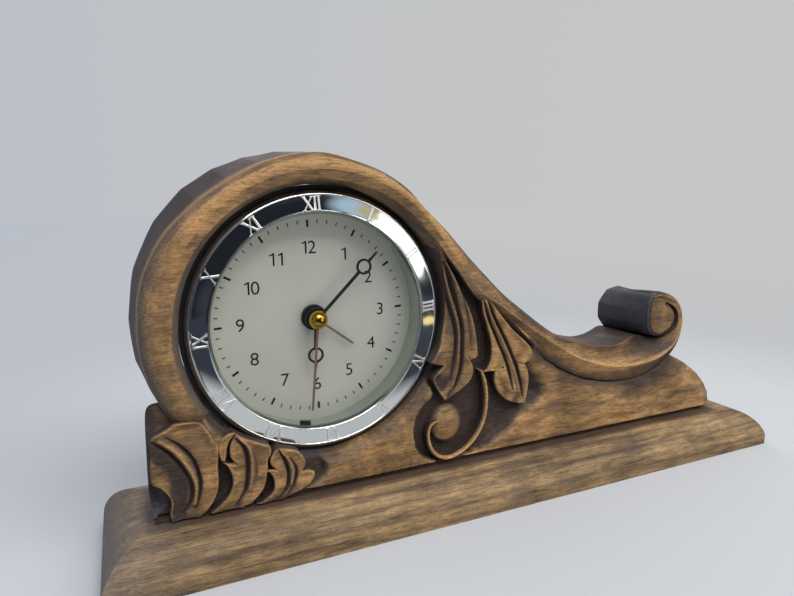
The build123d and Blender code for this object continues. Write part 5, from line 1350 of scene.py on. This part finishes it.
# %% World
world = bpy.data.worlds.new("soft room")
bpy.context.scene.world = world
world.use_nodes = True
tree = world.node_tree
tree.nodes.clear()
direction = add(tree, "TexCoord", out="Generated")
parts = add(tree, "SeparateXYZ", {0: direction}, None).outputs
rightness, backness, height = (
    add(tree, "MapRange", {"Value": parts[axis], "From Min": low, "From Max": high})
    for axis, low, high in ((0, -0.8, 0.8), (1, -0.74, -0.4), (2, 0.2, 0.9)))
paler = add(tree, "Math", {0: backness, 1: height}, operation="MAXIMUM")
walls_tone = add(tree, "Mix", {0: rightness, 6: linear("#BCC8DC"), 7: linear("#CBC9C4")}, 2,
                 **BLEND)
room = add(tree, "Mix", {0: paler, 6: linear("#23262C"), 7: walls_tone}, 2, **BLEND)
# direction, half angle and soft edge in degrees, colour and level
bright_areas = [
    ((0.55, -0.83, 0.035), 6.8, 1.2, "#FFFFFF", 3.0),
    ((0.405, -0.90, 0.155), 3, 3, "#B8D2E8", 1.0),
    ((0.455, -0.88, 0.14), 1.5, 2, "#CDBE90", 1.0),
    ((-0.07, -0.98, -0.12), 1, 4, "#3A3F4C", 1.0),
]
for aim, half_angle, soft, code, level in bright_areas:
    facing = add(tree, "VectorMath", {0: direction, 1: Vector(aim).normalized()}, "Value",
                 operation="DOT_PRODUCT")
    inside = add(tree, "MapRange", {
        "Value": facing, "From Min": math.cos(math.radians(half_angle + soft)),
        "From Max": math.cos(math.radians(half_angle))})
    bright = tuple(part * level for part in linear(code)[:3]) + (1.0,)
    room = add(tree, "Mix", {0: inside, 6: room, 7: bright}, 2, **BLEND)
backdrop = add(tree, "Mix", {0: rightness, 6: linear("#B6BDC9"), 7: linear("#C6C6C5")}, 2,
               **BLEND)
rays = add(tree, "LightPath", out=None).outputs
seen = add(tree, "Math", {0: rays["Is Camera Ray"], 1: rays["Is Transmission Ray"]},
           operation="MAXIMUM")
colour = add(tree, "Mix", {0: seen, 6: room, 7: backdrop}, 2, **BLEND)
light = add(tree, "Background", {"Color": colour, "Strength": 1.0})
add(tree, "OutputWorld", {"Surface": light}, None)
print("room ready")

# %% [markdown]
# ## The lamps
# Three soft lamps model the carving. A warm one high on the right in front throws the shadows
# to the left, a broad one above the front lifts the ridges, and a low one behind gives the back
# of the floor and of the clock its light. The left side stays dim, as on the real clock.

# %% Lamps


def lamp(name, place, size, power, colour):
    """A soft rectangular lamp at a place in metres, aimed at the middle of the clock."""
    data = bpy.data.lights.new(name, "AREA")
    data.shape = "RECTANGLE"
    data.size, data.size_y = size
    data.energy = power
    data.color = linear(colour)[:3]
    holder = bpy.data.objects.new(name, data)
    bpy.context.scene.collection.objects.link(holder)
    holder.location = place
    aim = Vector((0.0, 0.0, 0.07)) - Vector(place)
    holder.rotation_euler = aim.to_track_quat("-Z", "Y").to_euler()


lamp("right lamp", (0.80, -0.80, 0.75), (0.5, 0.6), 6.5, "#FFF6E6")
lamp("top lamp", (0.02, -0.68, 0.98), (0.9, 0.6), 14.5, "#FAFAFF")
lamp("back lamp", (0.25, 1.0, 0.30), (0.8, 0.5), 5, "#F4F7FF")
print("lamps ready")

# %% [markdown]
# ## The camera
# It stands close, left of the clock and a little above it, so the near end looks large. Its
# place, turn and lens were worked out from straight edges and circles whose sizes are known.

# %% Camera
yaw, pitch, tilt = math.radians(24.03), math.radians(10.28), math.radians(-0.59)
forward = np.array([math.sin(yaw) * math.cos(pitch), math.cos(yaw) * math.cos(pitch),
                    -math.sin(pitch)])
level_right = np.array([math.cos(yaw), -math.sin(yaw), 0])
level_up = np.cross(level_right, forward)
right = math.cos(tilt) * level_right + math.sin(tilt) * level_up
upward = math.cos(tilt) * level_up - math.sin(tilt) * level_right
camera_data = bpy.data.cameras.new("camera")
camera_data.sensor_width, camera_data.lens = 36, 27.82
camera = bpy.data.objects.new("camera", camera_data)
bpy.context.scene.collection.objects.link(camera)
stand = Matrix([[right[k], upward[k], -forward[k]] for k in range(3)]).to_4x4()
stand.translation = Vector((-0.14689, -0.23963, 0.13978))
camera.matrix_world = stand
bpy.context.scene.camera = camera
bpy.context.scene.view_settings.view_transform = "Standard"
print("camera ready")
